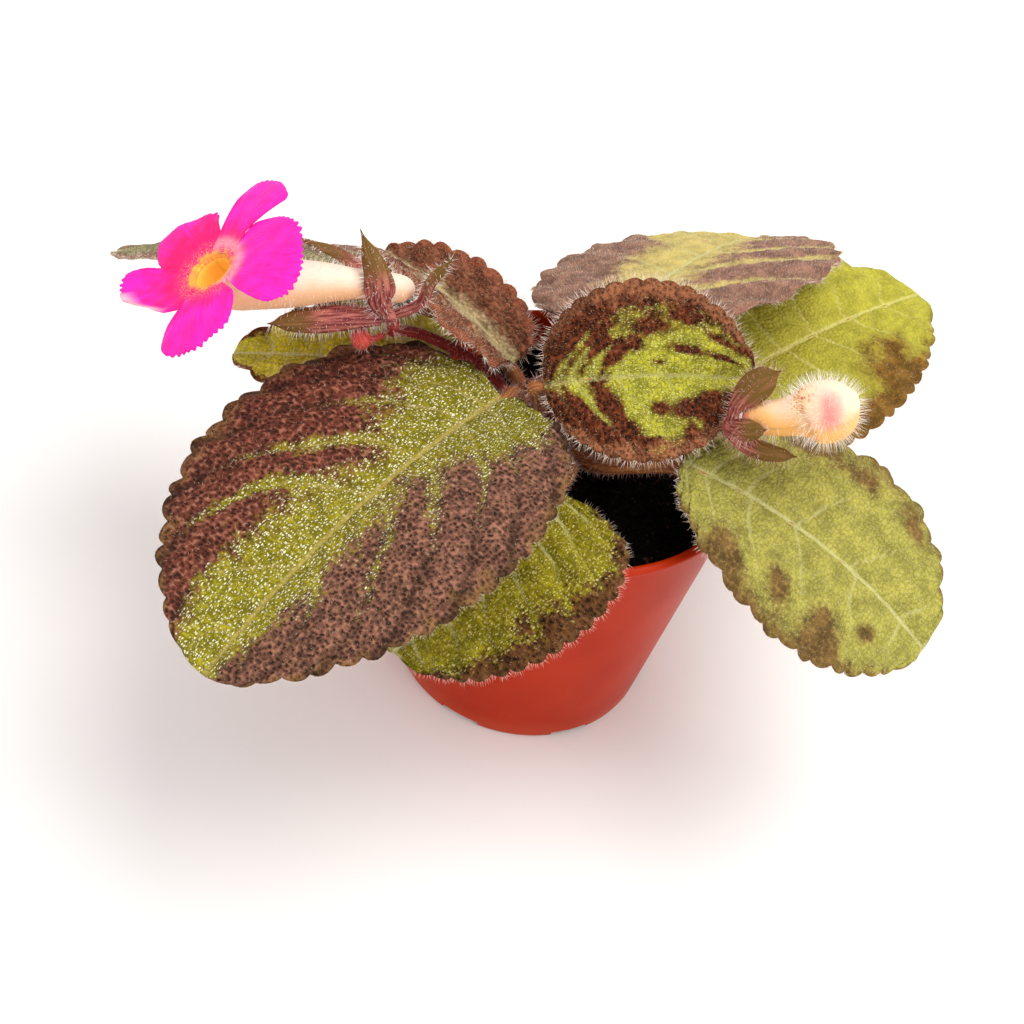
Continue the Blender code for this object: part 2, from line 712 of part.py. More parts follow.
def build_lobe(lobe):
    """One lobe: widening from the throat to a toothed, bent end."""
    first, second, facing = limb_axes()
    angle = math.radians(lobe.angle)
    out = first * math.cos(angle) + second * math.sin(angle)
    across = np.cross(facing, out)
    points, faces = [], []
    reach = lobe.reach - LOBE_START
    for i in range(LOBE_ROWS + 1):
        s = i / LOBE_ROWS
        for j in range(LOBE_COLUMNS + 1):
            t = 2 * j / LOBE_COLUMNS - 1
            tooth = LOBE_TOOTH * (0.5 if j % 2 else -0.5) if i == LOBE_ROWS else 0.0
            length = reach * (1 - LOBE_ROUND * abs(t) ** 2.4) + tooth
            run = s * length
            swell = math.sin(min(1.0, LOBE_SWELL * s) * math.pi / 2)
            half = LOBE_FOOT + (lobe.width / 2 - LOBE_FOOT) * swell
            bend = math.radians(lobe.lift) + math.radians(lobe.tip_lift - lobe.lift) * s / 2
            sag = lobe.sag * t * t * s
            points.append(np.array(THROAT) + out * (LOBE_START + run * math.cos(bend))
                          + across * half * t + facing * (run * math.sin(bend) + sag))
    wide = LOBE_COLUMNS + 1
    for i in range(LOBE_ROWS):
        for j in range(LOBE_COLUMNS):
            a = i * wide + j
            faces += [(a, a + wide, a + wide + 1), (a, a + wide + 1, a + 1)]
    thing = add_object("lobe", mesh_of("lobe", points, faces), True)
    shell = thing.modifiers.new("thickness", "SOLIDIFY")
    shell.thickness = LIMB_THICK * MM
    shell.offset = 0
    apply_modifiers(thing)
    weld(thing.data)
    return thing


def build_limb():
    """The flower's face: a ring round the throat that bears five toothed lobes."""
    facing = limb_axes()[2]
    centre = np.array(THROAT)
    half = LIMB_THICK / 2 + 0.1
    ring = tube("flower_limb", ((*(centre - facing * half), COLLAR_OUTER),
                                (*(centre + facing * half), COLLAR_OUTER)), 20)
    combine(ring, [build_lobe(lobe) for lobe in LOBES], "UNION")
    mouth = tube("mouth", ((*(centre - facing * 3), THROAT_RADIUS),
                           (*(centre + facing * 3), THROAT_RADIUS + 0.4)), 16, True)
    return combine(ring, [mouth], "DIFFERENCE")


def throat_line():
    """The tube's axis from the throat inwards: points and the depth of each."""
    facing = limb_axes()[2]
    end = np.array(THROAT) - facing * (LIMB_THICK / 2 + 0.1 + GAP)
    run = unit(np.array(TUBE[-1][:3]) - np.array(TUBE[-3][:3]))
    side = unit(run - facing * run.dot(facing))
    bend = math.acos(run.dot(facing))
    first = end - facing * THROAT_RUN
    points, depths = [end, first], [0.0, THROAT_RUN]
    for k in range(1, BEND_STEPS + 1):
        turn = bend * k / BEND_STEPS
        points.append(first - side * BEND_RADIUS * (1 - math.cos(turn))
                      - facing * BEND_RADIUS * math.sin(turn))
        depths.append(THROAT_RUN + BEND_RADIUS * turn)
    for point in reversed(TUBE[-3:]):
        depths.append(depths[-1] + float(np.linalg.norm(np.array(point[:3]) - points[-1])))
        points.append(np.array(point[:3]))
    return np.array(points), np.array(depths)


def build_flower_tube():
    """The flower's tube with its back spur and its open throat."""
    facing = limb_axes()[2]
    points, depths = throat_line()
    bent = [(*point, TUBE_END_RADIUS) for point in points[BEND_STEPS + 1::-1]]
    straight = [tuple(p) for p in smooth_line(TUBE, 11)]
    body = tube("flower_tube", straight + bent, TUBE_SIDES)
    hollow = []
    for depth, radius in THROAT_DEPTHS:
        if depth < 0:
            place = points[0] - facing * depth
        else:
            place = [np.interp(depth, depths, points[:, i]) for i in range(3)]
        hollow.append((*place, radius))
    return combine(body, [tube("throat", hollow, 12, True)], "DIFFERENCE")


def build_stalk(name, line, place):
    """A flower's stalk, standing just clear of the stem."""
    end, out = seat(*place)
    radius = line[-1][3]
    route = list(line) + [(*(end + out * RUN_IN), radius)]
    smooth = [tuple(point) for point in smooth_line(route, 2 * len(route) - 1)]
    return tube(name, smooth + [(*end, radius)], STALK_SIDES)


def build_young_bud():
    """The small closed bud beside the open flower, on its own short stalk."""
    thing = ball("young_bud", YOUNG_BUD, YOUNG_BUD_SIZE, False, 10, 8)
    return combine(thing, [tube("stalk", YOUNG_STALK, 8, True)], "UNION")


def finish_materials():
    """Give each node its own plain material and smooth shading with sharp edges."""
    for thing in PLANT.objects:
        material = bpy.data.materials.new(thing.name)
        material.use_nodes = True
        shader = material.node_tree.nodes["Principled BSDF"]
        shader.inputs["Base Color"].default_value = (*COLOURS[thing.name], 1.0)
        shader.inputs["Roughness"].default_value = 0.35 if thing.name == "pot" else 0.65
        thing.data.materials.clear()
        thing.data.materials.append(material)
        thing.data.shade_smooth()
        thing.data.set_sharp_from_angle(angle=math.radians(35))


def centre_on_origin():
    """Set the middle of the plant's outline over the origin."""
    spots = np.array([vertex.co[:2] for thing in PLANT.objects for vertex in thing.data.vertices])
    middle = (spots.min(0) + spots.max(0)) / 2
    for thing in PLANT.objects:
        for vertex in thing.data.vertices:
            vertex.co.x -= middle[0]
            vertex.co.y -= middle[1]
    print("pot axis at", [round(float(-value) * 1000, 3) for value in middle], "mm")


def main():
    """Build every node of the potted plant."""
    build_pot()
    build_soil()
    tube("stem", [tuple(p) for p in smooth_line(STEM, 11)], STEM_SIDES)
    for leaf in LEAVES:
        build_leaf(leaf)
    build_flower_tube()
    build_limb()
    build_sepals("flower_sepals", FLOWER_CUP, FLOWER_SEPALS)
    build_stalk("flower_stalk", FLOWER_STALK, FLOWER_STALK_SEAT)
    build_young_bud()
    tube("bud", [tuple(p) for p in smooth_line(BUD, 13)], BUD_SIDES)
    build_sepals("bud_sepals", BUD_CUP, BUD_SEPALS)
    build_stalk("bud_stalk", BUD_STALK, BUD_STALK_SEAT)
    finish_materials()
    centre_on_origin()


main()
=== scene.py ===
"""Dress the potted flame violet: fine leaves, hairs, bloom, soil and pot, in a plain studio.

Sizes are in millimetres from the pot's axis at its foot, X to the viewer's right, Y away
from the viewer and Z up, and angles in degrees. Meshes are turned to metres when made.
"""
import logging
import math
from dataclasses import dataclass, field
from enum import IntEnum
from typing import Any

import bmesh
import bpy
import numpy as np
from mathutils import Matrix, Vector


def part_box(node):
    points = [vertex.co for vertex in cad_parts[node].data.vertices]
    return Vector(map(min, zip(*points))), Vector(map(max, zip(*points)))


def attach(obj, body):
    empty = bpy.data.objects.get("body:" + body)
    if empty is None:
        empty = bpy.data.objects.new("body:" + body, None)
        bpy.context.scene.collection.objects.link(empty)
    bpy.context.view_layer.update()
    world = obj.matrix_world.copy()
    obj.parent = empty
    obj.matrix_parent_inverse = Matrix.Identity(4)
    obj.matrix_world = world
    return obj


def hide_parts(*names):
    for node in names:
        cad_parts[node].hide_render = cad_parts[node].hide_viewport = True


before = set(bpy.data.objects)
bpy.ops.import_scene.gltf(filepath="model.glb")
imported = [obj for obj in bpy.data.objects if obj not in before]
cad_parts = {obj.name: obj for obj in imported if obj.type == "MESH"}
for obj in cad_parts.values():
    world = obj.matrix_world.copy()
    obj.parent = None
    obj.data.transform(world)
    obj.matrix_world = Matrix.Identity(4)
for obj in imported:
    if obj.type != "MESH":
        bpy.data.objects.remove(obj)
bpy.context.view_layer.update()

LOG = logging.getLogger("flame_violet")
MM = 0.001
SEED = 11
UV_SCALE = 0.01
Colour = tuple[float, float, float, float]
Points = np.ndarray


class Side(IntEnum):
    """The two halves of a blade, seen from its base towards its tip."""

    LEFT = 1
    RIGHT = -1


class Skin(IntEnum):
    """The material slots of a leaf."""

    UPPER = 0
    UNDER = 1
    STALK = 2


def pot_axis() -> Points:
    """Return the pot's axis at its foot, in millimetres of the row frame."""
    low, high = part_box("pot")
    return np.array([(low.x + high.x) / 2, (low.y + high.y) / 2, 0.0]) / MM


AXIS = pot_axis()


def rgb(red: float, green: float, blue: float) -> Colour:
    """Turn a screen colour of 0 to 255 into the linear colour that a shader takes."""
    values = [c / 255 for c in (red, green, blue)]
    linear = [c / 12.92 if c <= 0.04045 else ((c + 0.055) / 1.055) ** 2.4 for c in values]
    return (*linear, 1.0)


def unit(vector: Any) -> Points:
    """Return a vector, or rows of vectors, made one long."""
    vector = np.asarray(vector, float)
    return vector / np.linalg.norm(vector, axis=-1, keepdims=True)


def smooth_line(points: Any, count: int) -> Points:
    """Draw a smooth line through given points.

    Args:
        points: rows of any number of columns.
        count: how many points the line has.

    Returns:
        The line's points as rows.
    """
    knots = np.array(points, float)
    knots = np.vstack([2 * knots[0] - knots[1], knots, 2 * knots[-1] - knots[-2]])
    spans = len(knots) - 3
    out = []
    for place in np.linspace(0, spans, count):
        i = min(int(place), spans - 1)
        t = place - i
        a, b, c, d = knots[i:i + 4]
        out.append(0.5 * (2 * b + (c - a) * t + (2 * a - 5 * b + 4 * c - d) * t ** 2
                          + (3 * b - a - 3 * c + d) * t ** 3))
    return np.array(out)


def ripple(x: Points, y: Points, seed: float) -> Points:
    """Return a soft random-looking pattern between about -1 and 1, one wave a unit."""
    total = np.zeros_like(np.asarray(x, float))
    for k in range(5):
        turn = seed * 1.7 + k * 2.4
        rate = (0.7 + 0.45 * k) * 2
        total = total + np.sin(rate * (x * math.cos(turn) + y * math.sin(turn)) + seed * 3.1 * k)
    return total / 2.6


# Nodes

class Tree:
    """A node tree, with the one way in which its nodes are added."""

    def __init__(self, tree: bpy.types.NodeTree) -> None:
        """Hold the tree."""
        self.tree = tree

    def add(self, kind: str, settings: dict | None = None,
            inputs: dict | None = None) -> bpy.types.Node:
        """Add a node.

        Args:
            kind: the node's type.
            settings: its properties, set first; stops are a ramp's (place, colour) pairs.
            inputs: values, sockets or Values for its sockets, by name or number.

        Returns:
            The new node.
        """
        node = self.tree.nodes.new(kind)
        for name, value in (settings or {}).items():
            if name == "stops":
                ramp = node.color_ramp
                while len(ramp.elements) < len(value):
                    ramp.elements.new(0.5)
                for element, (place, colour) in zip(ramp.elements, value):
                    element.position = place
                    element.color = colour
            else:
                setattr(node, name, value)
        for name, value in (inputs or {}).items():
            socket = node.inputs[name]
            value = value.socket if isinstance(value, Value) else value
            if isinstance(value, bpy.types.NodeSocket):
                self.tree.links.new(value, socket)
            else:
                socket.default_value = value
        return node


class Value:
    """A socket that takes part in sums written as Python expressions."""

    def __init__(self, tree: Tree, socket: bpy.types.NodeSocket) -> None:
        """Hold the socket and the tree it is in."""
        self.tree = tree
        self.socket = socket

    def math(self, operation: str, first: Any, second: Any = 0.0) -> "Value":
        """Add a Math node on two values and return its result."""
        node = self.tree.add("ShaderNodeMath", {"operation": operation}, {0: first, 1: second})
        return Value(self.tree, node.outputs[0])

    def __add__(self, other: Any) -> "Value":
        """Return self + other."""
        return self.math("ADD", self, other)

    __radd__ = __add__

    def __sub__(self, other: Any) -> "Value":
        """Return self - other."""
        return self.math("SUBTRACT", self, other)

    def __rsub__(self, other: Any) -> "Value":
        """Return other - self."""
        return self.math("SUBTRACT", other, self)

    def __mul__(self, other: Any) -> "Value":
        """Return self * other."""
        return self.math("MULTIPLY", self, other)

    __rmul__ = __mul__

    def __pow__(self, other: Any) -> "Value":
        """Return self to the power of other."""
        return self.math("POWER", self, other)

    def ease(self, low: float, high: float) -> "Value":
        """Return 0 below low and 1 above high with a soft step between, either way round."""
        node = self.tree.add("ShaderNodeMapRange", {"interpolation_type": "SMOOTHSTEP"},
                             {"Value": self, "From Min": low, "From Max": high})
        return Value(self.tree, node.outputs["Result"])


class Finish(Tree):
    """A material in the making: patterns, then one Principled shader."""

    def __init__(self, name: str) -> None:
        """Start a material of the given name."""
        self.material = bpy.data.materials.new(name)
        self.material.use_nodes = True
        super().__init__(self.material.node_tree)
        self.shader = self.tree.nodes["Principled BSDF"]

    def part(self, name: str) -> Value:
        """Return a number that the mesh keeps for each point."""
        node = self.add("ShaderNodeAttribute", {"attribute_name": name})
        return Value(self, node.outputs["Fac"])

    def place(self, scale: tuple[float, float, float] = (1.0, 1.0, 1.0)) -> Any:
        """Return the surface's own coordinates in millimetres, stretched by a scale."""
        source = self.add("ShaderNodeUVMap", {"uv_map": "surface"})
        sizes = [value / UV_SCALE for value in scale]
        node = self.add("ShaderNodeVectorMath", {"operation": "MULTIPLY"},
                        {0: source.outputs["UV"], 1: sizes})
        return node.outputs[0]

    def split(self, vector: Any, axis: str) -> Value:
        """Return one part of a vector: X, Y or Z."""
        return Value(self, self.add("ShaderNodeSeparateXYZ", None, {0: vector}).outputs[axis])

    def solid(self, scale: float = 1000.0) -> Any:
        """Return the object's coordinates in millimetres."""
        source = self.add("ShaderNodeTexCoord")
        node = self.add("ShaderNodeVectorMath", {"operation": "SCALE"},
                        {0: source.outputs["Object"], "Scale": scale})
        return node.outputs[0]

    def warp(self, vector: Any, size: float, amount: float) -> Any:
        """Return coordinates pushed about by up to an amount in clouds of a size."""
        cloud = self.add("ShaderNodeTexNoise", None, {"Vector": vector, "Scale": 1 / size})
        push = self.add("ShaderNodeVectorMath", {"operation": "MULTIPLY_ADD"}, {
            0: cloud.outputs["Color"], 1: (2 * amount,) * 3, 2: vector})
        return push.outputs[0]

    def noise(self, vector: Any, size: float, detail: float = 2.0) -> Value:
        """Return cloudy noise from 0 to 1 whose clouds are size millimetres across."""
        node = self.add("ShaderNodeTexNoise", None,
                        {"Vector": vector, "Scale": 1 / size, "Detail": detail})
        return Value(self, node.outputs[0])

    def cells(self, vector: Any, size: float, soft: float = 0.0) -> tuple[Value, Value]:
        """Return the distance from cell centres a size apart, and a number for each cell."""
        kind = "SMOOTH_F1" if soft else "F1"
        inputs = {"Vector": vector, "Scale": 1 / size, "Randomness": 0.85}
        if soft:
            inputs["Smoothness"] = soft
        node = self.add("ShaderNodeTexVoronoi", {"feature": kind, "voronoi_dimensions": "2D"},
                        inputs)
        split = self.add("ShaderNodeSeparateColor", None, {0: node.outputs["Color"]})
        return Value(self, node.outputs["Distance"]), Value(self, split.outputs[0])

    def mix(self, factor: Any, first: Any, second: Any, blend: str = "MIX") -> Any:
        """Return two colours mixed by a factor."""
        node = self.add("ShaderNodeMix", {"data_type": "RGBA", "blend_type": blend},
                        {0: factor, 6: first, 7: second})
        return node.outputs[2]

    def bump(self, height: Any, depth: float, strength: float = 1.0) -> Any:
        """Return the normal of a relief of a depth in millimetres."""
        node = self.add("ShaderNodeBump", None,
                        {"Height": height, "Distance": depth * MM, "Strength": strength})
        return node.outputs["Normal"]

    def dress(self, colour: Any, roughness: Any, normal: Any = None,
              **constants: Any) -> bpy.types.Material:
        """Feed the shader and return the material.

        Args:
            colour: a colour or the socket that gives it.
            roughness: a number or the Value that gives it.
            normal: the normal's socket, where there is a relief.
            constants: other sockets' numbers, with _ for a space in their names.

        Returns:
            The finished material.
        """
        feeds = {"Base Color": colour, "Roughness": roughness}
        if normal is not None:
            feeds["Normal"] = normal
        for name, value in feeds.items():
            value = value.socket if isinstance(value, Value) else value
            if isinstance(value, bpy.types.NodeSocket):
                self.tree.links.new(value, self.shader.inputs[name])
            else:
                self.shader.inputs[name].default_value = value
        for name, value in constants.items():
            self.shader.inputs[name.replace("_", " ")].default_value = value
        return self.material


# Finishes

@dataclass(frozen=True)
class Coat:
    """How one leaf is coloured and how its blade is puckered.

    left and right give how far out the green runs on each half, as (share of the way to
    the tip, share of the half width) pairs. left_ribs and right_ribs are the lateral veins
    as (share of the margin, how far out the green follows it, how strongly) rows. Patches
    are brown blots as (half, share of the margin, share outwards, long, wide) rows.
    """

    dark: Colour
    green: Colour
    left: tuple
    right: tuple
    left_ribs: tuple
    right_ribs: tuple
    lean: tuple = (0.12, 0.12)
    rise: float = 0.2
    spots: float = 0.0
    patches: tuple = ()
    # The colour of the pale glints painted on the upper face.
    glint_colour: Colour = rgb(250, 246, 214)
    under: Colour = rgb(150, 96, 88)
    # How many painted glints the upper face has.
    glint_amount: float = 1.0
    # How strongly painted shade darkens the pits.
    pit_shading: float = 1.0
    margin: Colour = rgb(96, 66, 44)
    margin_start: float = 0.75
    vein: Colour = rgb(206, 202, 140)
    veins: float = 1.0
    quilt: float = 0.4
    pebble: float = 1.0
    nap: float = 1.0
    # How strongly the pebbles show: the lighter net on the dark field, the green's spread of tone, the relief's depth
    # and the painted shade between pebbles on the green.
    grain: float = 1.0
    soft: float = 0.5
    fringe: float = 1.0
    # A darker colour for the right half's dark field: painted shade where that half turns from the light.
    other: Colour | None = None
    start: float = -1.0
    glints: float = 0.38
    # How strongly painted shade darkens the grooves of the quilting.
    arcs: float = 1.0
    ragged: float = 1.0
    finger: float = 1.0

    def upper(self, name: str) -> bpy.types.Material:
        """Make the upper face: dark and green fields, pale veins, pits, painted shade and painted glints."""
        work = Finish(name + "_upper")
        spot = work.place()
        green, vein, edge = work.part("green"), work.part("vein"), work.part("edge")
        cloud = work.noise(spot, 3.2, 4.0)
        fine = work.noise(spot, 0.4, 2.0)
        speckle = work.noise(spot, 0.8, 3.0)
        loose = work.warp(work.place((1.0, 0.8, 1.0)), 0.9, 0.42)
        near, number = work.cells(loose, self.pebble * 0.74)
        bent = work.warp(work.place((0.6, 1.15, 1.0)), 0.7, 0.3)
        glint, chance = work.cells(bent, self.pebble * self.glints)
        blur = (cloud - 0.5) * 0.6 + (speckle - 0.5) * 0.9 + (number - 0.5) * 0.25
        blur = blur * self.ragged
        across = work.split(spot, "Y")
        rib = (across * across).ease(0.22, 0.02) * self.veins
        field_mask = (green + blur).ease(0.5 - self.soft / 2, 0.5 + self.soft / 2)
        ground = work.mix(cloud.ease(0.3, 0.7), self._tone(self.dark, 0.5), self.dark)
        # Painted shade: the right half's dark field turns to the darker other colour, where the blade turns from the
        # light.
        if self.other:
            half = across * 0.2 + (cloud - 0.5)
            deep = work.mix(cloud.ease(0.3, 0.7), self._tone(self.other, 0.5), self.other)
            ground = work.mix(half.ease(0.6, -0.6), ground, deep)
        shade = work.mix(near.ease(0.4, 0.66) * speckle.ease(0.4, 0.6) * 0.6 * self.grain,
                         ground, self._tone(self.dark, 1.7))
        # Painted shade: the pit in each cell is darkened, and dented in the relief.
        shaded_pit = (number * 0.24 + 0.16 - near).ease(-0.06, 0.08) * self.pit_shading
        shaded_pit = shaded_pit * (speckle.ease(0.62, 0.4) * 0.65 + 0.35)
        shade = work.mix(shaded_pit * 0.9, shade, self._tone(self.dark, 0.08))
        bright_end = work.part("along") * self.rise + (1.0 - self.rise)
        lit = work.mix(cloud.ease(0.25, 0.75) * bright_end,
                       self._tone(self.green, 0.75 - 0.3 * self.grain),
                       self._tone(self.green, 1.1))
        # Painted shade: the green darkens in the low gaps between pebbles.
        lit = work.mix(near.ease(0.34, 0.6) * 0.7 * self.grain, lit,
                       self._tone(self.green, 0.24))
        brim = (edge + (cloud - 0.5) * 0.3).ease(self.margin_start, self.margin_start + 0.2)
        # The brown margin, with painted shade in its pits.
        brown = work.mix(shaded_pit * 0.8, self.margin, self._tone(self.margin, 0.2))
        shade = work.mix(brim * 0.8, shade, brown)
        colour = work.mix(field_mask, shade, lit)
        colour = work.mix(brim * 0.8 * (1.0 - field_mask * 0.5), colour, brown)
        line = vein.ease(0.4, 0.95) * (0.2 + field_mask * 0.5) * self.veins
        colour = work.mix(line, colour, self.vein)
        colour = work.mix(rib * 0.65, colour, self.vein)
        # Painted highlight: pale glints, standing for light caught on hair tips, mostly on the green.
        where = (green * 1.2 + vein * 0.3 + chance * 0.5 + (speckle - 0.5) * 1.2)
        painted_glint = (chance * 0.34 + 0.06 - glint).ease(-0.04, 0.07) * self.glint_amount
        painted_glint = painted_glint * where.ease(0.62, 1.1) * (1.0 - rib * 0.9)
        colour = work.mix(painted_glint * (fine * 0.5 + 0.6), colour, self.glint_colour)
        # Painted shade: the grooves of the quilting are darkened, less on the green.
        groove = work.part("groove") * self.arcs * (1.0 - field_mask * 0.7)
        colour = work.mix(groove.ease(0.0, 1.0) * 0.9, colour, self._tone(self.dark, 0.12))
        height = (1.0 - near.ease(0.05, 0.62)) * 0.7 + fine * 0.3 - shaded_pit * 0.5 + painted_glint * 0.5
        normal = work.bump(height, 0.42 * (self.grain * 0.7 + 0.3), 1.0)
        rough = 0.6 - painted_glint * 0.2 + (cloud - 0.5) * 0.15
        return work.dress(colour, rough, normal, Specular_IOR_Level=0.1)

    def lower(self, name: str) -> bpy.types.Material:
        """Make the under face: paler and duller, with the net of veins standing out."""
        work = Finish(name + "_under")
        spot = work.place()
        vein, green = work.part("vein"), work.part("green")
        cloud = work.noise(spot, 4.0, 3.0)
        near, _ = work.cells(spot, self.pebble, 0.3)
        base = work.mix(green * 0.65, self.under, rgb(150, 148, 98))
        colour = work.mix(cloud * 0.6, base, self._tone(self.under, 0.6))
        colour = work.mix(near.ease(0.25, 0.6) * 0.4, colour, self._tone(self.under, 1.5))
        colour = work.mix(vein * 0.6, colour, rgb(190, 150, 120))
        normal = work.bump(near.ease(0.0, 0.6), 0.25, 0.8)
        return work.dress(colour, 0.7 - vein * 0.15, normal, Specular_IOR_Level=0.2,
                          Sheen_Weight=0.1, Sheen_Roughness=0.4)

    @staticmethod
    def _tone(colour: Colour, times: float) -> Colour:
        """Return a colour made darker or lighter."""
        return (*[min(1.0, c * times) for c in colour[:3]], 1.0)


@dataclass(frozen=True)
class Tissue:
    """The soft skin of stalks, stem and sepals, streaked along its length."""

    name: str
    first: Colour
    second: Colour
    tip: Colour
    roughness: float = 0.5
    tip_start: float = 0.3

    def material(self) -> bpy.types.Material:
        """Make the material, which turns to the tip's colour where the mesh says along."""
        work = Finish(self.name)
        spot = work.place()
        cloud = work.noise(spot, 2.2, 3.0)
        streak = work.noise(work.place((0.22, 2.6, 1.0)), 0.9, 2.0)
        colour = work.mix((cloud * 0.4 + streak * 1.2 - 0.3).ease(0.3, 0.7), self.first,
                          self.second)
        along = work.part("along") + (cloud - 0.5) * 0.3
        along = along.ease(self.tip_start, self.tip_start + 0.35)
        colour = work.mix(along * (0.6 + streak * 0.5), colour, self.tip)
        normal = work.bump(streak * 1.2 + work.noise(spot, 0.4) * 0.5, 0.12, 0.8)
        return work.dress(colour, self.roughness + (cloud - 0.5) * 0.2, normal,
                          Specular_IOR_Level=0.15)


@dataclass(frozen=True)
class Down:
    """The pale glassy stuff of hairs, a little varied from hair to hair."""

    name: str
    root: Colour
    end: Colour

    def material(self) -> bpy.types.Material:
        """Make the material."""
        work = Finish(self.name)
        cloud = work.noise(work.solid(), 0.8, 1.0)
        colour = work.mix(cloud.ease(0.3, 0.7), self.root, self.end)
        return work.dress(colour, 0.35 + cloud * 0.2, None, Specular_IOR_Level=0.6,
                          Transmission_Weight=0.0)


@dataclass(frozen=True)
class PetalFinish:
    """The limb: orange throat, red-pink ring, then vivid pink-purple with faint veins."""

    throat: Colour = rgb(255, 172, 64)
    ring: Colour = rgb(242, 18, 102)
    petal: Colour = rgb(255, 34, 196)
    deep: Colour = rgb(226, 0, 146)
    rim: Colour = rgb(255, 206, 212)

    def material(self) -> bpy.types.Material:
        """Make the material, which reads how far out a point is and how pale."""
        work = Finish("limb_petal")
        out, pale = work.part("out"), work.part("pale")
        spot = work.place()
        cloud = work.noise(spot, 2.5, 3.0)
        veins = work.noise(work.place((0.25, 2.6, 1.0)), 1.0, 2.0)
        glitter, number = work.cells(spot, 0.35)
        colour = work.mix(veins.ease(0.35, 0.75) * 0.5, self.petal, self.deep)
        reach = out + (veins - 0.5) * 1.5 + (cloud - 0.5) * 2.5
        glow = work.part("glow") + (veins - 0.5) * 0.5 + (cloud - 0.5) * 0.5
        colour = work.mix(glow.ease(0.1, 0.75) * 0.9, colour, self.ring)
        colour = work.mix(reach.ease(4.5, 3.2), colour, self.throat)
        flecks = glitter.ease(0.34, 0.18) * number.ease(0.5, 0.7) * reach.ease(6.6, 4.2)
        colour = work.mix(flecks, colour, rgb(255, 214, 90))
        colour = work.mix(pale * 0.85, colour, self.rim)
        colour = work.mix(cloud.ease(0.35, 0.7) * 0.35, colour, rgb(214, 0, 110))
        normal = work.bump(veins * 0.7 + glitter * 0.4 + cloud * 0.5, 0.16, 0.8)
        return work.dress(colour, 0.6 + (cloud - 0.5) * 0.2, normal, Sheen_Weight=0.05,
                          Specular_IOR_Level=0.2)


@dataclass(frozen=True)
class CreamFinish:
    """The bloom's tube and the bud: cream above as a painted highlight, peach to orange below, partly their own colour
    and partly painted shade, with freckles.
    """

    name: str
    cream: Colour = rgb(251, 224, 202)
    peach: Colour = rgb(248, 192, 146)
    orange: Colour = rgb(246, 160, 84)
    blush: Colour = rgb(246, 130, 120)

    def material(self) -> bpy.types.Material:
        """Make the material, which reads the mesh's up for the painted light, blush, freckle, fold and inside."""
        work = Finish(self.name)
        spot = work.place()
        cloud = work.noise(spot, 3.0, 3.0)
        streak = work.noise(work.place((0.2, 2.0, 1.0)), 1.1, 2.0)
        # Painted light: the side facing up is painted cream as a highlight from above, and the underside peach to
        # orange, partly the skin's own colour and partly painted shade.
        up = work.part("up") + (cloud - 0.5) * 0.5
        colour = work.mix(up.ease(0.95, 0.1), self.cream, self.peach)
        colour = work.mix(up.ease(-0.1, -0.9) * streak.ease(0.3, 0.8), colour, self.orange)
        flush = (work.part("blush") + (cloud - 0.5) * 0.7).ease(0.05, 1.1)
        colour = work.mix(flush * 0.8, colour, self.blush)
        near, number = work.cells(spot, 0.5)
        freckle = near.ease(0.5, 0.3) * number.ease(0.3, 0.5) * work.part("freckle")
        fold = work.part("fold")
        colour = work.mix(work.part("freckle") * 0.5, colour, rgb(250, 206, 96))
        # Painted shade: a darker line along the bud's fold, where its closed lobes overlap.
        colour = work.mix(fold * 0.6, colour, rgb(226, 140, 70))
        colour = work.mix(freckle * 0.85, colour, rgb(214, 50, 36))
        inside = work.part("inside")
        colour = work.mix(inside, colour, rgb(255, 190, 70))
        normal = work.bump(streak * 0.8 + cloud * 0.3, 0.14, 0.7)
        return work.dress(colour, 0.55 + (streak - 0.5) * 0.2, normal, Sheen_Weight=0.08,
                          Specular_IOR_Level=0.3)


@dataclass(frozen=True)
class PotFinish:
    """Terracotta-coloured plastic with a satin shine and a little dust."""

    clay: Colour = rgb(176, 42, 3)
    dim: Colour = rgb(154, 30, 1)
    dust: Colour = rgb(204, 84, 36)

    def material(self) -> bpy.types.Material:
        """Make the material."""
        work = Finish("pot_plastic")
        spot = work.solid()
        cloud = work.noise(spot, 14.0, 3.0)
        fine = work.noise(spot, 0.5, 2.0)
        colour = work.mix(cloud.ease(0.3, 0.8) * 0.6, self.clay, self.dim)
        split = work.split(spot, "Z")
        scuff = work.noise(spot, 3.0, 4.0).ease(0.62, 0.8) * 0.2
        colour = work.mix(scuff + split.ease(5.0, 0.0) * 0.3, colour, self.dust)
        normal = work.bump(fine * 0.6 + cloud * 0.4, 0.05, 0.6)
        return work.dress(colour, 0.32 + cloud * 0.12 + scuff * 0.6, normal,
                          Specular_IOR_Level=0.1)


@dataclass(frozen=True)
class PeatFinish:
    """Dark damp peat with a few brown fibres."""

    black: Colour = rgb(12, 8, 7)
    brown: Colour = rgb(64, 42, 30)

    def material(self, name: str, light: float) -> bpy.types.Material:
        """Make the material; light is how many of its crumbs are brown."""
        work = Finish(name)
        spot = work.solid()
        grain = work.noise(spot, 0.7, 4.0)
        patch = work.noise(spot, 2.6, 2.0)
        colour = work.mix(patch.ease(0.72 - light, 0.82 - light), self.black, self.brown)
        colour = work.mix(grain.ease(0.6, 0.8) * 0.4, colour, rgb(110, 84, 62))
        normal = work.bump(grain, 0.5, 1.0)
        return work.dress(colour, 0.9 - grain * 0.15, normal, Specular_IOR_Level=0.05)


# Meshes

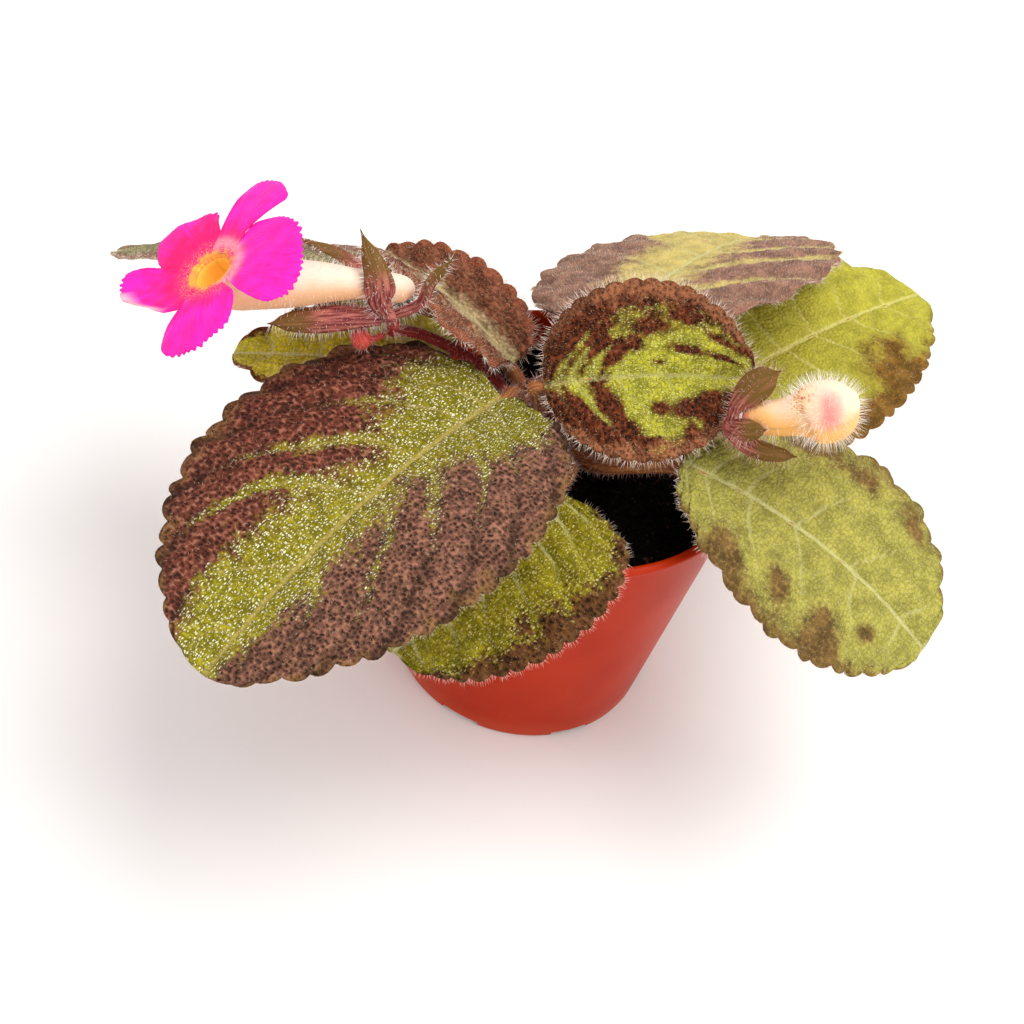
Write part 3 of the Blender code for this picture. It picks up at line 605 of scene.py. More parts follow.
@dataclass
class Shape:
    """Points, faces and what each point keeps, gathered for one piece."""

    points: list = field(default_factory=list)
    faces: list = field(default_factory=list)
    slots: list = field(default_factory=list)
    surface: list = field(default_factory=list)
    keeps: dict = field(default_factory=dict)
    rims: list = field(default_factory=list)

    def put(self, points: Points, surface: Points, keeps: dict[str, Points]) -> int:
        """Add points and return the number of the first."""
        first = len(self.points)
        points = np.asarray(points, float).reshape(-1, 3)
        self.points.extend(map(tuple, points))
        self.surface.extend(map(tuple, np.asarray(surface, float).reshape(-1, 2)))
        for name in set(self.keeps) | set(keeps):
            held = self.keeps.setdefault(name, [0.0] * first)
            given = keeps.get(name, 0.0)
            held.extend(np.broadcast_to(np.asarray(given, float), points.shape[:1]).tolist()
                        if np.ndim(given) < 2 else np.asarray(given, float).ravel().tolist())
        return first

    def join(self, faces: list, slot: int = 0, rim: float = 0.0) -> None:
        """Add faces in a material slot, with how thickly a fringe grows on them."""
        self.faces.extend(faces)
        self.slots.extend([slot] * len(faces))
        self.rims.extend([rim] * len(faces))

    def grid(self, points: Points, surface: Points, keeps: dict[str, Points], slot: int = 0,
             around: bool = False, flip: bool = False) -> int:
        """Add a grid of points with quads between them.

        Args:
            points: rows by columns by 3.
            surface: rows by columns by 2, the surface's own coordinates in millimetres.
            keeps: numbers for each point, rows by columns.
            slot: the material slot.
            around: whether the last column joins the first.
            flip: whether the faces turn the other way.

        Returns:
            The number of the first point.
        """
        rows, columns = points.shape[:2]
        flat = {name: np.broadcast_to(value, (rows, columns)).reshape(-1)
                for name, value in keeps.items()}
        first = self.put(points.reshape(-1, 3), surface.reshape(-1, 2), flat)
        faces = []
        for i in range(rows - 1):
            for j in range(columns if around else columns - 1):
                k = (j + 1) % columns
                quad = (first + i * columns + j, first + i * columns + k,
                        first + (i + 1) * columns + k, first + (i + 1) * columns + j)
                faces.append(quad[::-1] if flip else quad)
        self.join(faces, slot)
        return first

    def build(self, name: str, materials: list[bpy.types.Material]) -> bpy.types.Object:
        """Make the piece's object, with its points in the row frame in metres."""
        mesh = bpy.data.meshes.new(name)
        spots = (np.array(self.points) + AXIS) * MM
        mesh.from_pydata(spots.tolist(), [], self.faces)
        mesh.polygons.foreach_set("material_index", self.slots)
        corner = np.zeros(len(mesh.loops), int)
        mesh.loops.foreach_get("vertex_index", corner)
        layer = mesh.uv_layers.new(name="surface")
        layer.uv.foreach_set("vector", (np.array(self.surface)[corner] * UV_SCALE).ravel())
        for label, values in self.keeps.items():
            held = mesh.attributes.new(label, "FLOAT", "POINT")
            held.data.foreach_set("value", np.array(values, float))
        held = mesh.attributes.new("fringe", "FLOAT", "FACE")
        held.data.foreach_set("value", np.array(self.rims, float))
        for material in materials:
            mesh.materials.append(material)
        work = bmesh.new()
        work.from_mesh(mesh)
        bmesh.ops.remove_doubles(work, verts=work.verts[:], dist=0.002 * MM)
        bmesh.ops.recalc_face_normals(work, faces=work.faces[:])
        work.to_mesh(mesh)
        work.free()
        mesh.shade_smooth()
        thing = bpy.data.objects.new(name, mesh)
        bpy.context.scene.collection.objects.link(thing)
        return thing


class Sweep:
    """A round body along a line, made of rings that keep their turn from end to end."""

    def __init__(self, line: Points, sides: int) -> None:
        """Work out the line's lengths and the two side directions at each point."""
        self.line = np.asarray(line, float)[:, :3]
        self.sides = sides
        steps = np.linalg.norm(np.diff(self.line, axis=0), axis=1)
        self.arc = np.concatenate([[0.0], np.cumsum(steps)])
        ahead = unit(np.gradient(self.line, axis=0))
        start = np.cross(ahead[0], (0.0, 0.0, 1.0))
        if np.linalg.norm(start) < 0.1:
            start = np.cross(ahead[0], (1.0, 0.0, 0.0))
        firsts = [unit(start)]
        for way in ahead[1:]:
            firsts.append(unit(firsts[-1] - way * way.dot(firsts[-1])))
        self.first = np.array(firsts)
        self.second = np.cross(ahead, self.first)
        self.ahead = ahead

    def at(self, arc: float) -> tuple[Points, Points, Points]:
        """Return the centre and the two side directions at a length along the line."""
        def read(rows: Points) -> Points:
            """Return a row between two of the line's rows."""
            return np.array([np.interp(arc, self.arc, rows[:, i]) for i in range(3)])
        return read(self.line), unit(read(self.first)), unit(read(self.second))

    def add(self, shape: Shape, rings: list, keeps: Any, slot: int = 0,
            turns: Any = None) -> None:
        """Add the body to a shape.

        Args:
            shape: what it goes into.
            rings: (length along, radius) pairs; the ends are closed with a point.
            keeps: a function of (ring's share, ring's arc, normals) that returns numbers.
            slot: the material slot.
            turns: a function of (ring's arc, angles) that scales the radius, or None.
        """
        angles = np.linspace(0, 2 * math.pi, self.sides, endpoint=False)
        points, normals, arcs, travel = [], [], [], [0.0]
        for k, (arc, radius) in enumerate(rings):
            centre, first, second = self.at(arc)
            way = np.cos(angles)[:, None] * first + np.sin(angles)[:, None] * second
            size = radius * (turns(arc, angles) if turns else 1.0)
            points.append(centre + way * np.reshape(size, (-1, 1)))
            normals.append(way)
            arcs.append(arc)
            if k:
                before = rings[k - 1]
                travel.append(travel[-1] + math.hypot(arc - before[0], radius - before[1]))
        points = np.array(points)
        share = np.array(travel)[:, None] / travel[-1]
        held = keeps(share, np.array(arcs)[:, None], np.array(normals))
        radius = np.array([max(r, 0.3) for _, r in rings])[:, None]
        surface = np.stack(np.broadcast_arrays(np.array(travel)[:, None],
                                               angles[None, :] * radius.mean()), -1)
        first = shape.grid(points, surface, held, slot, around=True)
        for row, flip in ((0, False), (len(rings) - 1, True)):
            middle = shape.put(points[row].mean(0)[None, :], surface[row, :1],
                               {name: np.broadcast_to(value, points.shape[:2])[row, :1]
                                for name, value in held.items()})
            start = first + row * self.sides
            fan = []
            for j in range(self.sides):
                k = (j + 1) % self.sides
                trio = (middle, start + j, start + k)
                fan.append(trio if flip else trio[::-1])
            shape.join(fan, slot)


class Grower:
    """Hairs and crumbs that a Geometry Nodes tree scatters over a piece."""

    def __init__(self) -> None:
        """Build the two trees."""
        self.hair = self._tree("hairs", self._hair_copy)
        self.crumb = self._tree("crumbs", self._crumb_copy)

    @staticmethod
    def _hair_copy(work: Tree, source: bpy.types.Node) -> Any:
        """Return one hair: a slim three-sided spike."""
        node = work.add("GeometryNodeMeshCone", {"fill_type": "NONE"}, {
            "Vertices": 3, "Side Segments": 1, "Radius Top": 0.0,
            "Radius Bottom": source.outputs["Radius"], "Depth": source.outputs["Length"]})
        return node.outputs["Mesh"]

    @staticmethod
    def _crumb_copy(work: Tree, source: bpy.types.Node) -> Any:
        """Return one crumb: a small faceted ball."""
        node = work.add("GeometryNodeMeshIcoSphere", None,
                        {"Radius": source.outputs["Radius"], "Subdivisions": 1})
        return node.outputs["Mesh"]

    @staticmethod
    def _tree(name: str, copy: Any) -> bpy.types.NodeTree:
        """Build a tree that sets copies of one small mesh over a surface.

        Args:
            name: the tree's name.
            copy: makes the mesh to copy, from the tree and its input node.

        Returns:
            The tree, with inputs for the sizes, the seed and the material.
        """
        tree = bpy.data.node_groups.new(name, "GeometryNodeTree")
        face = tree.interface
        face.new_socket("Geometry", in_out="OUTPUT", socket_type="NodeSocketGeometry")
        face.new_socket("Geometry", in_out="INPUT", socket_type="NodeSocketGeometry")
        for label in ("Density", "Length", "Radius", "Lean", "Least"):
            face.new_socket(label, in_out="INPUT", socket_type="NodeSocketFloat")
        face.new_socket("Where", in_out="INPUT", socket_type="NodeSocketString")
        face.new_socket("Seed", in_out="INPUT", socket_type="NodeSocketInt")
        face.new_socket("Material", in_out="INPUT", socket_type="NodeSocketMaterial")
        work = Tree(tree)
        source = work.add("NodeGroupInput")
        where = work.add("GeometryNodeInputNamedAttribute", {"data_type": "FLOAT"},
                         {"Name": source.outputs["Where"]})
        mask = Value(work, where.outputs["Attribute"])
        scatter = work.add("GeometryNodeDistributePointsOnFaces", None, {
            "Mesh": source.outputs["Geometry"], "Seed": source.outputs["Seed"],
            "Density": mask * source.outputs["Density"]})
        lean = Value(work, source.outputs["Lean"])
        tilt = work.add("FunctionNodeRandomValue", {"data_type": "FLOAT_VECTOR"},
                        {0: (-1.0, -1.0, -1.0), 1: (1.0, 1.0, 1.0), "Seed": 3})
        tilt = work.add("ShaderNodeVectorMath", {"operation": "SCALE"},
                        {0: tilt.outputs[0], "Scale": lean})
        tilt = work.add("FunctionNodeEulerToRotation", None, {0: tilt.outputs[0]})
        turn = work.add("FunctionNodeRotateRotation", {"rotation_space": "LOCAL"},
                        {0: scatter.outputs["Rotation"], 1: tilt.outputs[0]})
        size = work.add("FunctionNodeRandomValue", {"data_type": "FLOAT"},
                        {2: source.outputs["Least"], 3: 1.0, "Seed": 5})
        copies = work.add("GeometryNodeInstanceOnPoints", None, {
            "Points": scatter.outputs["Points"], "Instance": copy(work, source),
            "Rotation": turn.outputs[0], "Scale": size.outputs[1]})
        real = work.add("GeometryNodeRealizeInstances", None, {0: copies.outputs[0]})
        done = work.add("GeometryNodeSetMaterial", None, {
            "Geometry": real.outputs[0], "Material": source.outputs["Material"]})
        work.add("NodeGroupOutput", None, {"Geometry": done.outputs[0]})
        return tree

    def grow(self, tree: bpy.types.NodeTree, on: bpy.types.Object, name: str,
             material: bpy.types.Material, **sizes: Any) -> bpy.types.Object:
        """Scatter a tree's copies over a piece as a plain mesh of its own.

        Args:
            tree: the hair or the crumb tree.
            on: the piece that carries them.
            name: the new piece's name.
            material: the copies' material.
            sizes: the tree's inputs by name, in metres.

        Returns:
            The new piece.
        """
        helper = bpy.data.objects.new(name, on.data)
        bpy.context.scene.collection.objects.link(helper)
        modifier = helper.modifiers.new(name, "NODES")
        modifier.node_group = tree
        sockets = {item.name: item.identifier for item in tree.interface.items_tree
                   if item.in_out == "INPUT"}
        for label, value in {"Seed": SEED, "Material": material, "Least": 0.6,
                             **sizes}.items():
            modifier[sockets[label]] = value
        graph = bpy.context.evaluated_depsgraph_get()
        graph.update()
        mesh = bpy.data.meshes.new_from_object(helper.evaluated_get(graph))
        bpy.data.objects.remove(helper, do_unlink=True)
        for layer in list(mesh.attributes):
            if layer.name in ("green", "vein", "edge", "along", "hair", "fringe", "up",
                              "groove", "stalk", "blush", "freckle", "inside"):
                mesh.attributes.remove(mesh.attributes[layer.name])
        thing = bpy.data.objects.new(name, mesh)
        bpy.context.scene.collection.objects.link(thing)
        return thing


def settle(piece: bpy.types.Object, slot: str, *nodes: str) -> bpy.types.Object:
    """Set a finished piece on the body, in place of CAD nodes.

    Args:
        piece: the finished piece.
        slot: the record's material slot; not used.
        nodes: the CAD nodes that it stands for, if any.

    Returns:
        The piece.
    """
    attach(piece, "root")
    if nodes:
        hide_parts(*nodes)
    LOG.info("%s: %d faces", piece.name, len(piece.data.polygons))
    return piece


# The plant

@dataclass(frozen=True)
class Stem:
    """The short crown stem."""

    knots: tuple = ((-1.5, -1.8, 38.0, 4.0), (-1.5, -1.8, 48.0, 4.0), (-2.6, -1.7, 53.0, 3.8),
                    (-4.8, -1.4, 57.5, 3.5), (-7.0, -1.1, 61.0, 3.0), (-8.0, -1.0, 62.6, 1.9))
    seat_gap: float = 0.1
    sides: int = 24

    def seat(self, angle: float, height: float) -> Points:
        """Return where a stalk meets the stem's side at an angle and a height."""
        def at(level: float) -> Points:
            """Return the axis point and radius at a level."""
            knots = np.array(self.knots)
            return np.array([np.interp(level, knots[:, 2], knots[:, i]) for i in range(4)])
        place = at(height)
        along = unit(at(height + 1)[:3] - at(height - 1)[:3])
        out = np.array([math.cos(math.radians(angle)), math.sin(math.radians(angle)), 0.0])
        out = unit(out - along * out.dot(along))
        return place[:3] + out * (place[3] - self.seat_gap)

    def build(self, grower: Grower, down: bpy.types.Material) -> None:
        """Build the stem and its hairs."""
        line = smooth_line(self.knots, 40)
        sweep = Sweep(line, self.sides)
        shape = Shape()
        rings = [(arc, row[3]) for arc, row in zip(sweep.arc, line)]
        rings.append((sweep.arc[-1] + 0.01, 0.6))

        def keeps(share: Points, arc: Points, normals: Points) -> dict:
            """Return the stem's numbers: hairy above the soil."""
            return {"along": np.zeros(normals.shape[:2]), "hair": (arc > 10.0) * 1.0}

        def turns(arc: float, angles: Points) -> Points:
            """Return knobbly rings like old leaf bases."""
            return 1 + 0.07 * np.sin(arc * 1.9 + np.sin(angles * 2) * 1.6)

        sweep.add(shape, rings, keeps, 0, turns)
        skin = Tissue("stem_skin", rgb(120, 52, 42), rgb(84, 30, 28), rgb(120, 52, 42))
        piece = settle(shape.build("stem_piece", [skin.material()]), "stem_tissue", "stem")
        settle(grower.grow(grower.hair, piece, "stem_hairs", down, Density=1.6e6, Where="hair",
                           Length=0.0016, Radius=0.00005, Lean=0.7), "stem_tissue")


@dataclass(frozen=True)
class Leaf:
    """One leaf, by where its blade starts, how its midrib runs and how it is cut."""

    node: str
    slot: str
    base: tuple
    heading: float
    turn: float
    pitch: float
    tip_pitch: float
    roll: float
    twist: float
    length: float
    width: float
    fold: float
    bow_radius: float
    skew: float
    sinus: float
    low: float
    blunt: float
    point: float
    teeth: int
    tooth: float
    wave: float
    waves: float
    seat_angle: float
    seat_height: float
    stalk: tuple
    stalk_radius: float
    coat: Coat
    thickness: float = 0.5
    tooth_columns: int = 6
    strip: float = 0.72

    def midrib(self) -> tuple[Points, Points, Points]:
        """Return lengths along the midrib, its points and its directions."""
        run = np.linspace(-0.3 * self.length, self.length, 60)
        share = np.clip(run / self.length, 0, 1)
        pitch = np.radians(self.pitch + (self.tip_pitch - self.pitch) * share)
        heading = np.radians(self.heading + self.turn * share)
        ahead = np.stack([np.cos(heading) * np.cos(pitch), np.sin(heading) * np.cos(pitch),
                          np.sin(pitch)], -1)
        step = run[1] - run[0]
        line = np.vstack([np.zeros(3), np.cumsum((ahead[1:] + ahead[:-1]) / 2 * step, 0)])
        start = np.array([np.interp(0, run, line[:, i]) for i in range(3)])
        return run, line - start + np.array(self.base), ahead

    def on_blade(self, u: Points, v: Points, side: int) -> tuple[Points, Points]:
        """Return points on the blade and the way they face.

        Args:
            u: millimetres along the midrib.
            v: millimetres out from it.
            side: the half, LEFT or RIGHT.
        """
        run, line, ahead = self.midrib()
        u, v = np.asarray(u, float), np.asarray(v, float)
        centre = np.stack([np.interp(u, run, line[:, i]) for i in range(3)], -1)
        along = unit(np.stack([np.interp(u, run, ahead[:, i]) for i in range(3)], -1))
        share = np.clip(u / self.length, 0, 1)
        heading = np.radians(self.heading + self.turn * share)
        flat = np.stack([-np.sin(heading), np.cos(heading), np.zeros_like(heading)], -1)
        up = np.cross(along, flat)
        roll = np.radians(self.roll + self.twist * share)[..., None]
        across = np.cos(roll) * flat + np.sin(roll) * up
        normal = np.cos(roll) * up - np.sin(roll) * flat
        out = v * (1 + side * self.skew)
        first = math.radians(self.fold)
        last = first - out / self.bow_radius
        sideways = (math.sin(first) - np.sin(last)) * self.bow_radius
        rise = (np.cos(last) - math.cos(first)) * self.bow_radius
        spot = centre + side * across * sideways[..., None] + normal * rise[..., None]
        tilt = (first * np.minimum(1.0, v / 5.0) - out / self.bow_radius)[..., None]
        return spot, normal * np.cos(tilt) - side * across * np.sin(tilt)

    def outline(self, shares: Points) -> tuple[Points, Points, Points]:
        """Return where lateral lines leave the midrib and where they end at the margin."""
        f = np.linspace(0, math.pi, 240)
        rise = (1 - np.cos(f)) / 2
        u = rise - self.sinus * np.sin(f) * ((1 + np.cos(f)) / 2) ** 1.5
        v = 0.5 * np.sin(f).clip(0) ** self.blunt
        v = v * (1 + self.low * np.cos(f) - 0.5 * self.point * rise ** 4)
        u, v = u * self.length, v * self.width
        first = max(5, int(np.argmax(np.arctan2(v[1:], u[1:]))) + 1)
        f, u, v = f[first:], u[first:], v[first:]
        arc = np.concatenate([[0], np.cumsum(np.hypot(np.diff(u), np.diff(v)))])
        place = shares * arc[-1] * 0.992
        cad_, uk, vk = (np.interp(place, arc, values) for values in (f, u, v))
        du = np.interp(place + 0.6, arc, u) - np.interp(place - 0.6, arc, u)
        dv = np.interp(place + 0.6, arc, v) - np.interp(place - 0.6, arc, v)
        size = np.hypot(du, dv)
        room = np.minimum(np.minimum(1.0, 12 * shares + 0.05), 5 * (1 - shares) + 0.02)
        scallop = np.abs(np.sin(math.pi * self.teeth * shares)) ** 0.75 - 0.62
        bulge = self.tooth * scallop * room
        mid = self.length * ((1 - np.cos(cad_)) / 2) ** 1.6 + 0.12 * 3 * self.teeth * shares / 2
        mid = np.minimum(mid, self.length * (0.9 + 0.1 * shares) - 0.05)
        return mid, uk - bulge * dv / size, np.maximum(vk + bulge * du / size, 0.25)

    def relief(self, share: Points, s: Points, u: Points, v: Points,
               side: int) -> tuple[Points, dict]:
        """Work out the blade's height and colours on one half.

        Args:
            share: each point's lateral line, as a share of the margin.
            s: how far out each point is, as a share of its lateral line.
            u: millimetres along the midrib.
            v: millimetres out from it.
            side: the half.

        Returns:
            The height in millimetres, and the numbers that the points keep.
        """
        coat = self.coat
        ribs = np.array(coat.left_ribs if side > 0 else coat.right_ribs)
        wander = 0.012 * ripple(s * 2.2, share * 9, side + 1.3)
        place = share - coat.lean[side < 0] * s ** 1.7 + wander
        knots = np.concatenate([[2 * ribs[0, 0] - ribs[1, 0]], ribs[:, 0],
                                [2 * ribs[-1, 0] - ribs[-2, 0]]])
        phase = np.interp(place, knots, np.arange(len(knots)) - 1.0)
        number = np.clip(np.round(phase), 0, len(ribs) - 1).astype(int)
        gap = np.abs(phase - np.round(phase))
        spacing = np.maximum(np.gradient(u, axis=0) ** 2 + np.gradient(v, axis=0) ** 2, 1e-6)
        spacing = np.sqrt(spacing) / np.maximum(np.abs(np.gradient(phase, axis=0)), 1e-3)
        lateral = np.exp(-(gap * spacing / 0.5) ** 2) * np.clip((1 - s) * 6, 0, 1)
        lateral *= np.clip(1.3 - s, 0.3, 1) * (np.abs(phase - np.round(phase)) < 0.5)
        rib = np.exp(-(v / (0.85 - 0.5 * np.clip(u / self.length, 0, 1))) ** 2)
        rungs = s * self.width / 2 / 3.4 + 0.45 * ripple(share * 22, s * 4, side + 4.0)
        cross = np.exp(-(np.abs(rungs - np.round(rungs)) * 3.4 / 0.4) ** 2)
        cross *= np.clip(s * 5, 0, 1) * np.clip((1 - s) * 5, 0, 1)
        vein = np.maximum(np.maximum(lateral, rib), cross * 0.3)
        mound = np.abs(np.sin(math.pi * rungs)) ** 0.6
        swell = np.sin(math.pi * gap) ** 0.7 * (0.45 + 0.55 * mound)
        swell *= np.sin(math.pi * np.clip(s * 0.93, 0, 1)) ** 0.5
        room = np.minimum(np.minimum(1.0, 9 * share + 0.1), 5 * (1 - share) + 0.02)
        pebbles = ripple(u * 0.9, v * 0.9, side * 2.0 + 6) * 0.16
        height = (coat.quilt * (swell * 1.7 - 0.45) - 0.3 * rib * np.clip(s * 6, 0.6, 1)
                  + pebbles * np.clip((1 - s) * 4 + 0.4, 0, 1)) * room
        # Painted shade: how deep each point lies in a groove of the quilting, for darkening its colour.
        groove = np.clip(0.55 - swell, 0, 1) * (1 - lateral * 0.5) * (1 - rib)
        groove *= np.clip(s * 4, 0, 1) * coat.quilt * 1.5
        height += self.wave * s ** 3 * np.sin(self.waves * share + side)
        table = np.array(coat.left if side > 0 else coat.right)
        tip_share = np.clip(u / self.length, 0, 1)
        reach = np.interp(share, table[:, 0], table[:, 1])
        reach = reach + 0.05 * ripple(u * 0.3, v * 0.3 * side, 2.2)
        green = np.clip(0.5 + (reach - s) * 3.0, 0, 1)
        follow = np.exp(-(gap * spacing / (coat.finger * (1.0 + 1.6 * (1 - s)))) ** 2)
        finger = np.clip(0.5 + (ribs[number, 1] - s) * 2.5, 0, 1) * ribs[number, 2]
        green = green * np.clip(0.5 + (tip_share - coat.start) * 7, 0, 1)
        green = np.maximum(green, finger * follow)
        blot = np.exp(-((gap - 0.5) / 0.24) ** 4 - ((s - 0.5) / 0.2) ** 4)
        green = green - coat.spots * blot * 1.2 * np.clip(share * 8, 0, 1)
        for half, along, out, long, wide in coat.patches:
            far = ((share - along) / long) ** 2 + ((s - out) / wide) ** 2
            far = far + 0.25 * ripple(u * 0.25, v * 0.25, along * 9)
            green = green - (half == side) * np.exp(-np.maximum(far, 0) * 1.2) * 1.1
        edge = np.clip(s + 0.05 * ripple(share * 40, s * 3, 3.0), 0, 1)
        keeps = {"green": np.clip(green, 0, 1), "vein": vein, "edge": edge, "along": tip_share,
                 "hair": coat.nap * (0.25 + 0.75 * edge), "groove": np.clip(groove, 0, 1)}
        return height, keeps

    def blade(self, shape: Shape) -> None:
        """Add the blade's two faces and the thin wall round its margin."""
        columns = self.teeth * self.tooth_columns + 1
        strips = max(12, round(self.width / 2 / self.strip))
        shares = np.linspace(0, 1, columns)
        mid, edge_u, edge_v = self.outline(shares)
        s = np.linspace(0, 1, strips + 1)[None, :]
        for side in Side:
            share = np.broadcast_to(shares[:, None], (columns, strips + 1))
            u = mid[:, None] + (edge_u - mid)[:, None] * s ** 1.15
            v = edge_v[:, None] * s
            spot, facing = self.on_blade(u, v, side)
            height, keeps = self.relief(share, np.broadcast_to(s, u.shape), u, v, side)
            height = np.where(s < 1e-6, height[:, :1] * 0 - 0.3, height)
            thin = self.thickness * (1 - 0.55 * s ** 3)
            top = spot + facing * height[..., None]
            net = keeps["vein"] * 0.3 + 0.15
            low = spot + facing * (height - thin - net)[..., None]
            low[:, -1] = top[:, -1] - facing[:, -1] * 0.22
            surface = np.stack([u, side * v], -1)
            flip = side < 0
            first = shape.grid(top, surface, keeps, Skin.UPPER, flip=not flip)
            under = {**keeps, "hair": 0.35}
            second = shape.grid(low, surface, under, Skin.UNDER, flip=flip)
            self._walls(shape, first, second, columns, strips + 1, flip)

    @staticmethod
    def _walls(shape: Shape, first: int, second: int, columns: int, wide: int,
               flip: bool) -> None:
        """Close a half blade round its margin, its base and its tip."""
        def wall(a: list, b: list, turn: bool) -> list:
            """Return the quads between two rows of points."""
            quads = []
            for i in range(len(a) - 1):
                quad = (a[i], a[i + 1], b[i + 1], b[i])
                quads.append(quad[::-1] if turn else quad)
            return quads
        rim = [k * wide + wide - 1 for k in range(columns)]
        base = list(range(wide))
        tip = [(columns - 1) * wide + j for j in range(wide)]
        for row, turn in ((rim, flip), (base, not flip), (tip, flip)):
            over = [first + k for k in row]
            beneath = [second + k for k in row]
            shape.join(wall(over, beneath, turn), Skin.UPPER if row is rim else Skin.UNDER,
                       float(row is rim))

    def stalk_line(self, stem: Stem) -> Points:
        """Return the rib and stalk's line and radii, from under the tip to the stem."""
        line = []
        for share in (0.93, 0.8, 0.6, 0.4, 0.2, 0.08, 0.0):
            radius = 0.42 + (self.stalk_radius - 0.42) * (1 - share) ** 1.5
            spot, facing = self.on_blade(share * self.length, np.array(0.0), 1)
            line.append((*(spot - facing * (radius + 0.25)), radius))
        first = np.array(line[-1][:3])
        run, _, ahead = self.midrib()
        back = first - ahead[np.searchsorted(run, 0.0)] * 1.5
        route = [first, back] + [np.array(p) for p in self.stalk]
        route.append(stem.seat(self.seat_angle, self.seat_height))
        path = smooth_line(route, 8 * len(route))
        line += [(*p, self.stalk_radius) for p in path[3:]]
        return smooth_line(line, 90) if len(line) < 30 else np.array(line)

    def build(self, stem: Stem, grower: Grower, downs: dict) -> None:
        """Build the leaf with its stalk and its hairs.

        Args:
            stem: the stem that it grows from.
            grower: the maker of hairs.
            downs: the hair materials by name.
        """
        shape = Shape()
        self.blade(shape)
        line = self.stalk_line(stem)
        sweep = Sweep(line, 12)
        rings = [(0.0, 0.12)] + [(arc, row[3]) for arc, row in zip(sweep.arc, line)][1:]
        blade_arc = float(sweep.arc[6]) if len(line) > 8 else 0.0

        def keeps(share: Points, arc: Points, normals: Points) -> dict:
            """Return the stalk's numbers: hairy where it stands clear of the blade."""
            clear = (arc > blade_arc * 0.99) * 1.0
            zero = np.zeros(normals.shape[:2])
            return {"along": zero + (1 - clear) * 0.5, "hair": zero + 0.35 + clear,
                    "stalk": zero + clear, "green": zero + 0.5, "vein": zero + 0.8,
                    "edge": zero, "groove": zero}

        sweep.add(shape, rings, keeps, Skin.STALK)
        skin = Tissue(self.node + "_stalk", rgb(172, 112, 62), rgb(124, 62, 36),
                      rgb(176, 146, 92))
        materials = [self.coat.upper(self.node), self.coat.lower(self.node), skin.material()]
        piece = settle(shape.build(self.node + "_piece", materials), self.slot, self.node)
        hairs = (
            ("nap", "hair", downs["cream"], 2.2e6, 0.0006, 0.000022, 0.5),
            ("fringe", "fringe", downs["pale"], 2.2e7, 0.0012 * self.coat.fringe,
             0.00003 * self.coat.fringe, 0.4),
            ("stalk_hairs", "stalk", downs["rosy"], 2.4e6, 0.0012, 0.00003, 0.5),
        )
        for label, where, material, density, long, wide, lean in hairs:
            settle(grower.grow(grower.hair, piece, f"{self.node}_{label}", material,
                               Density=density, Where=where, Length=long, Radius=wide,
                               Lean=lean), self.slot)


def ribs(count: int, reach: float, strength: float, first: float = 0.0,
         last: float = 0.8) -> tuple:
    """Return evenly spaced lateral veins whose green all reaches as far out."""
    return tuple((first + (last - first) * k / (count - 1), reach, strength)
                 for k in range(count))


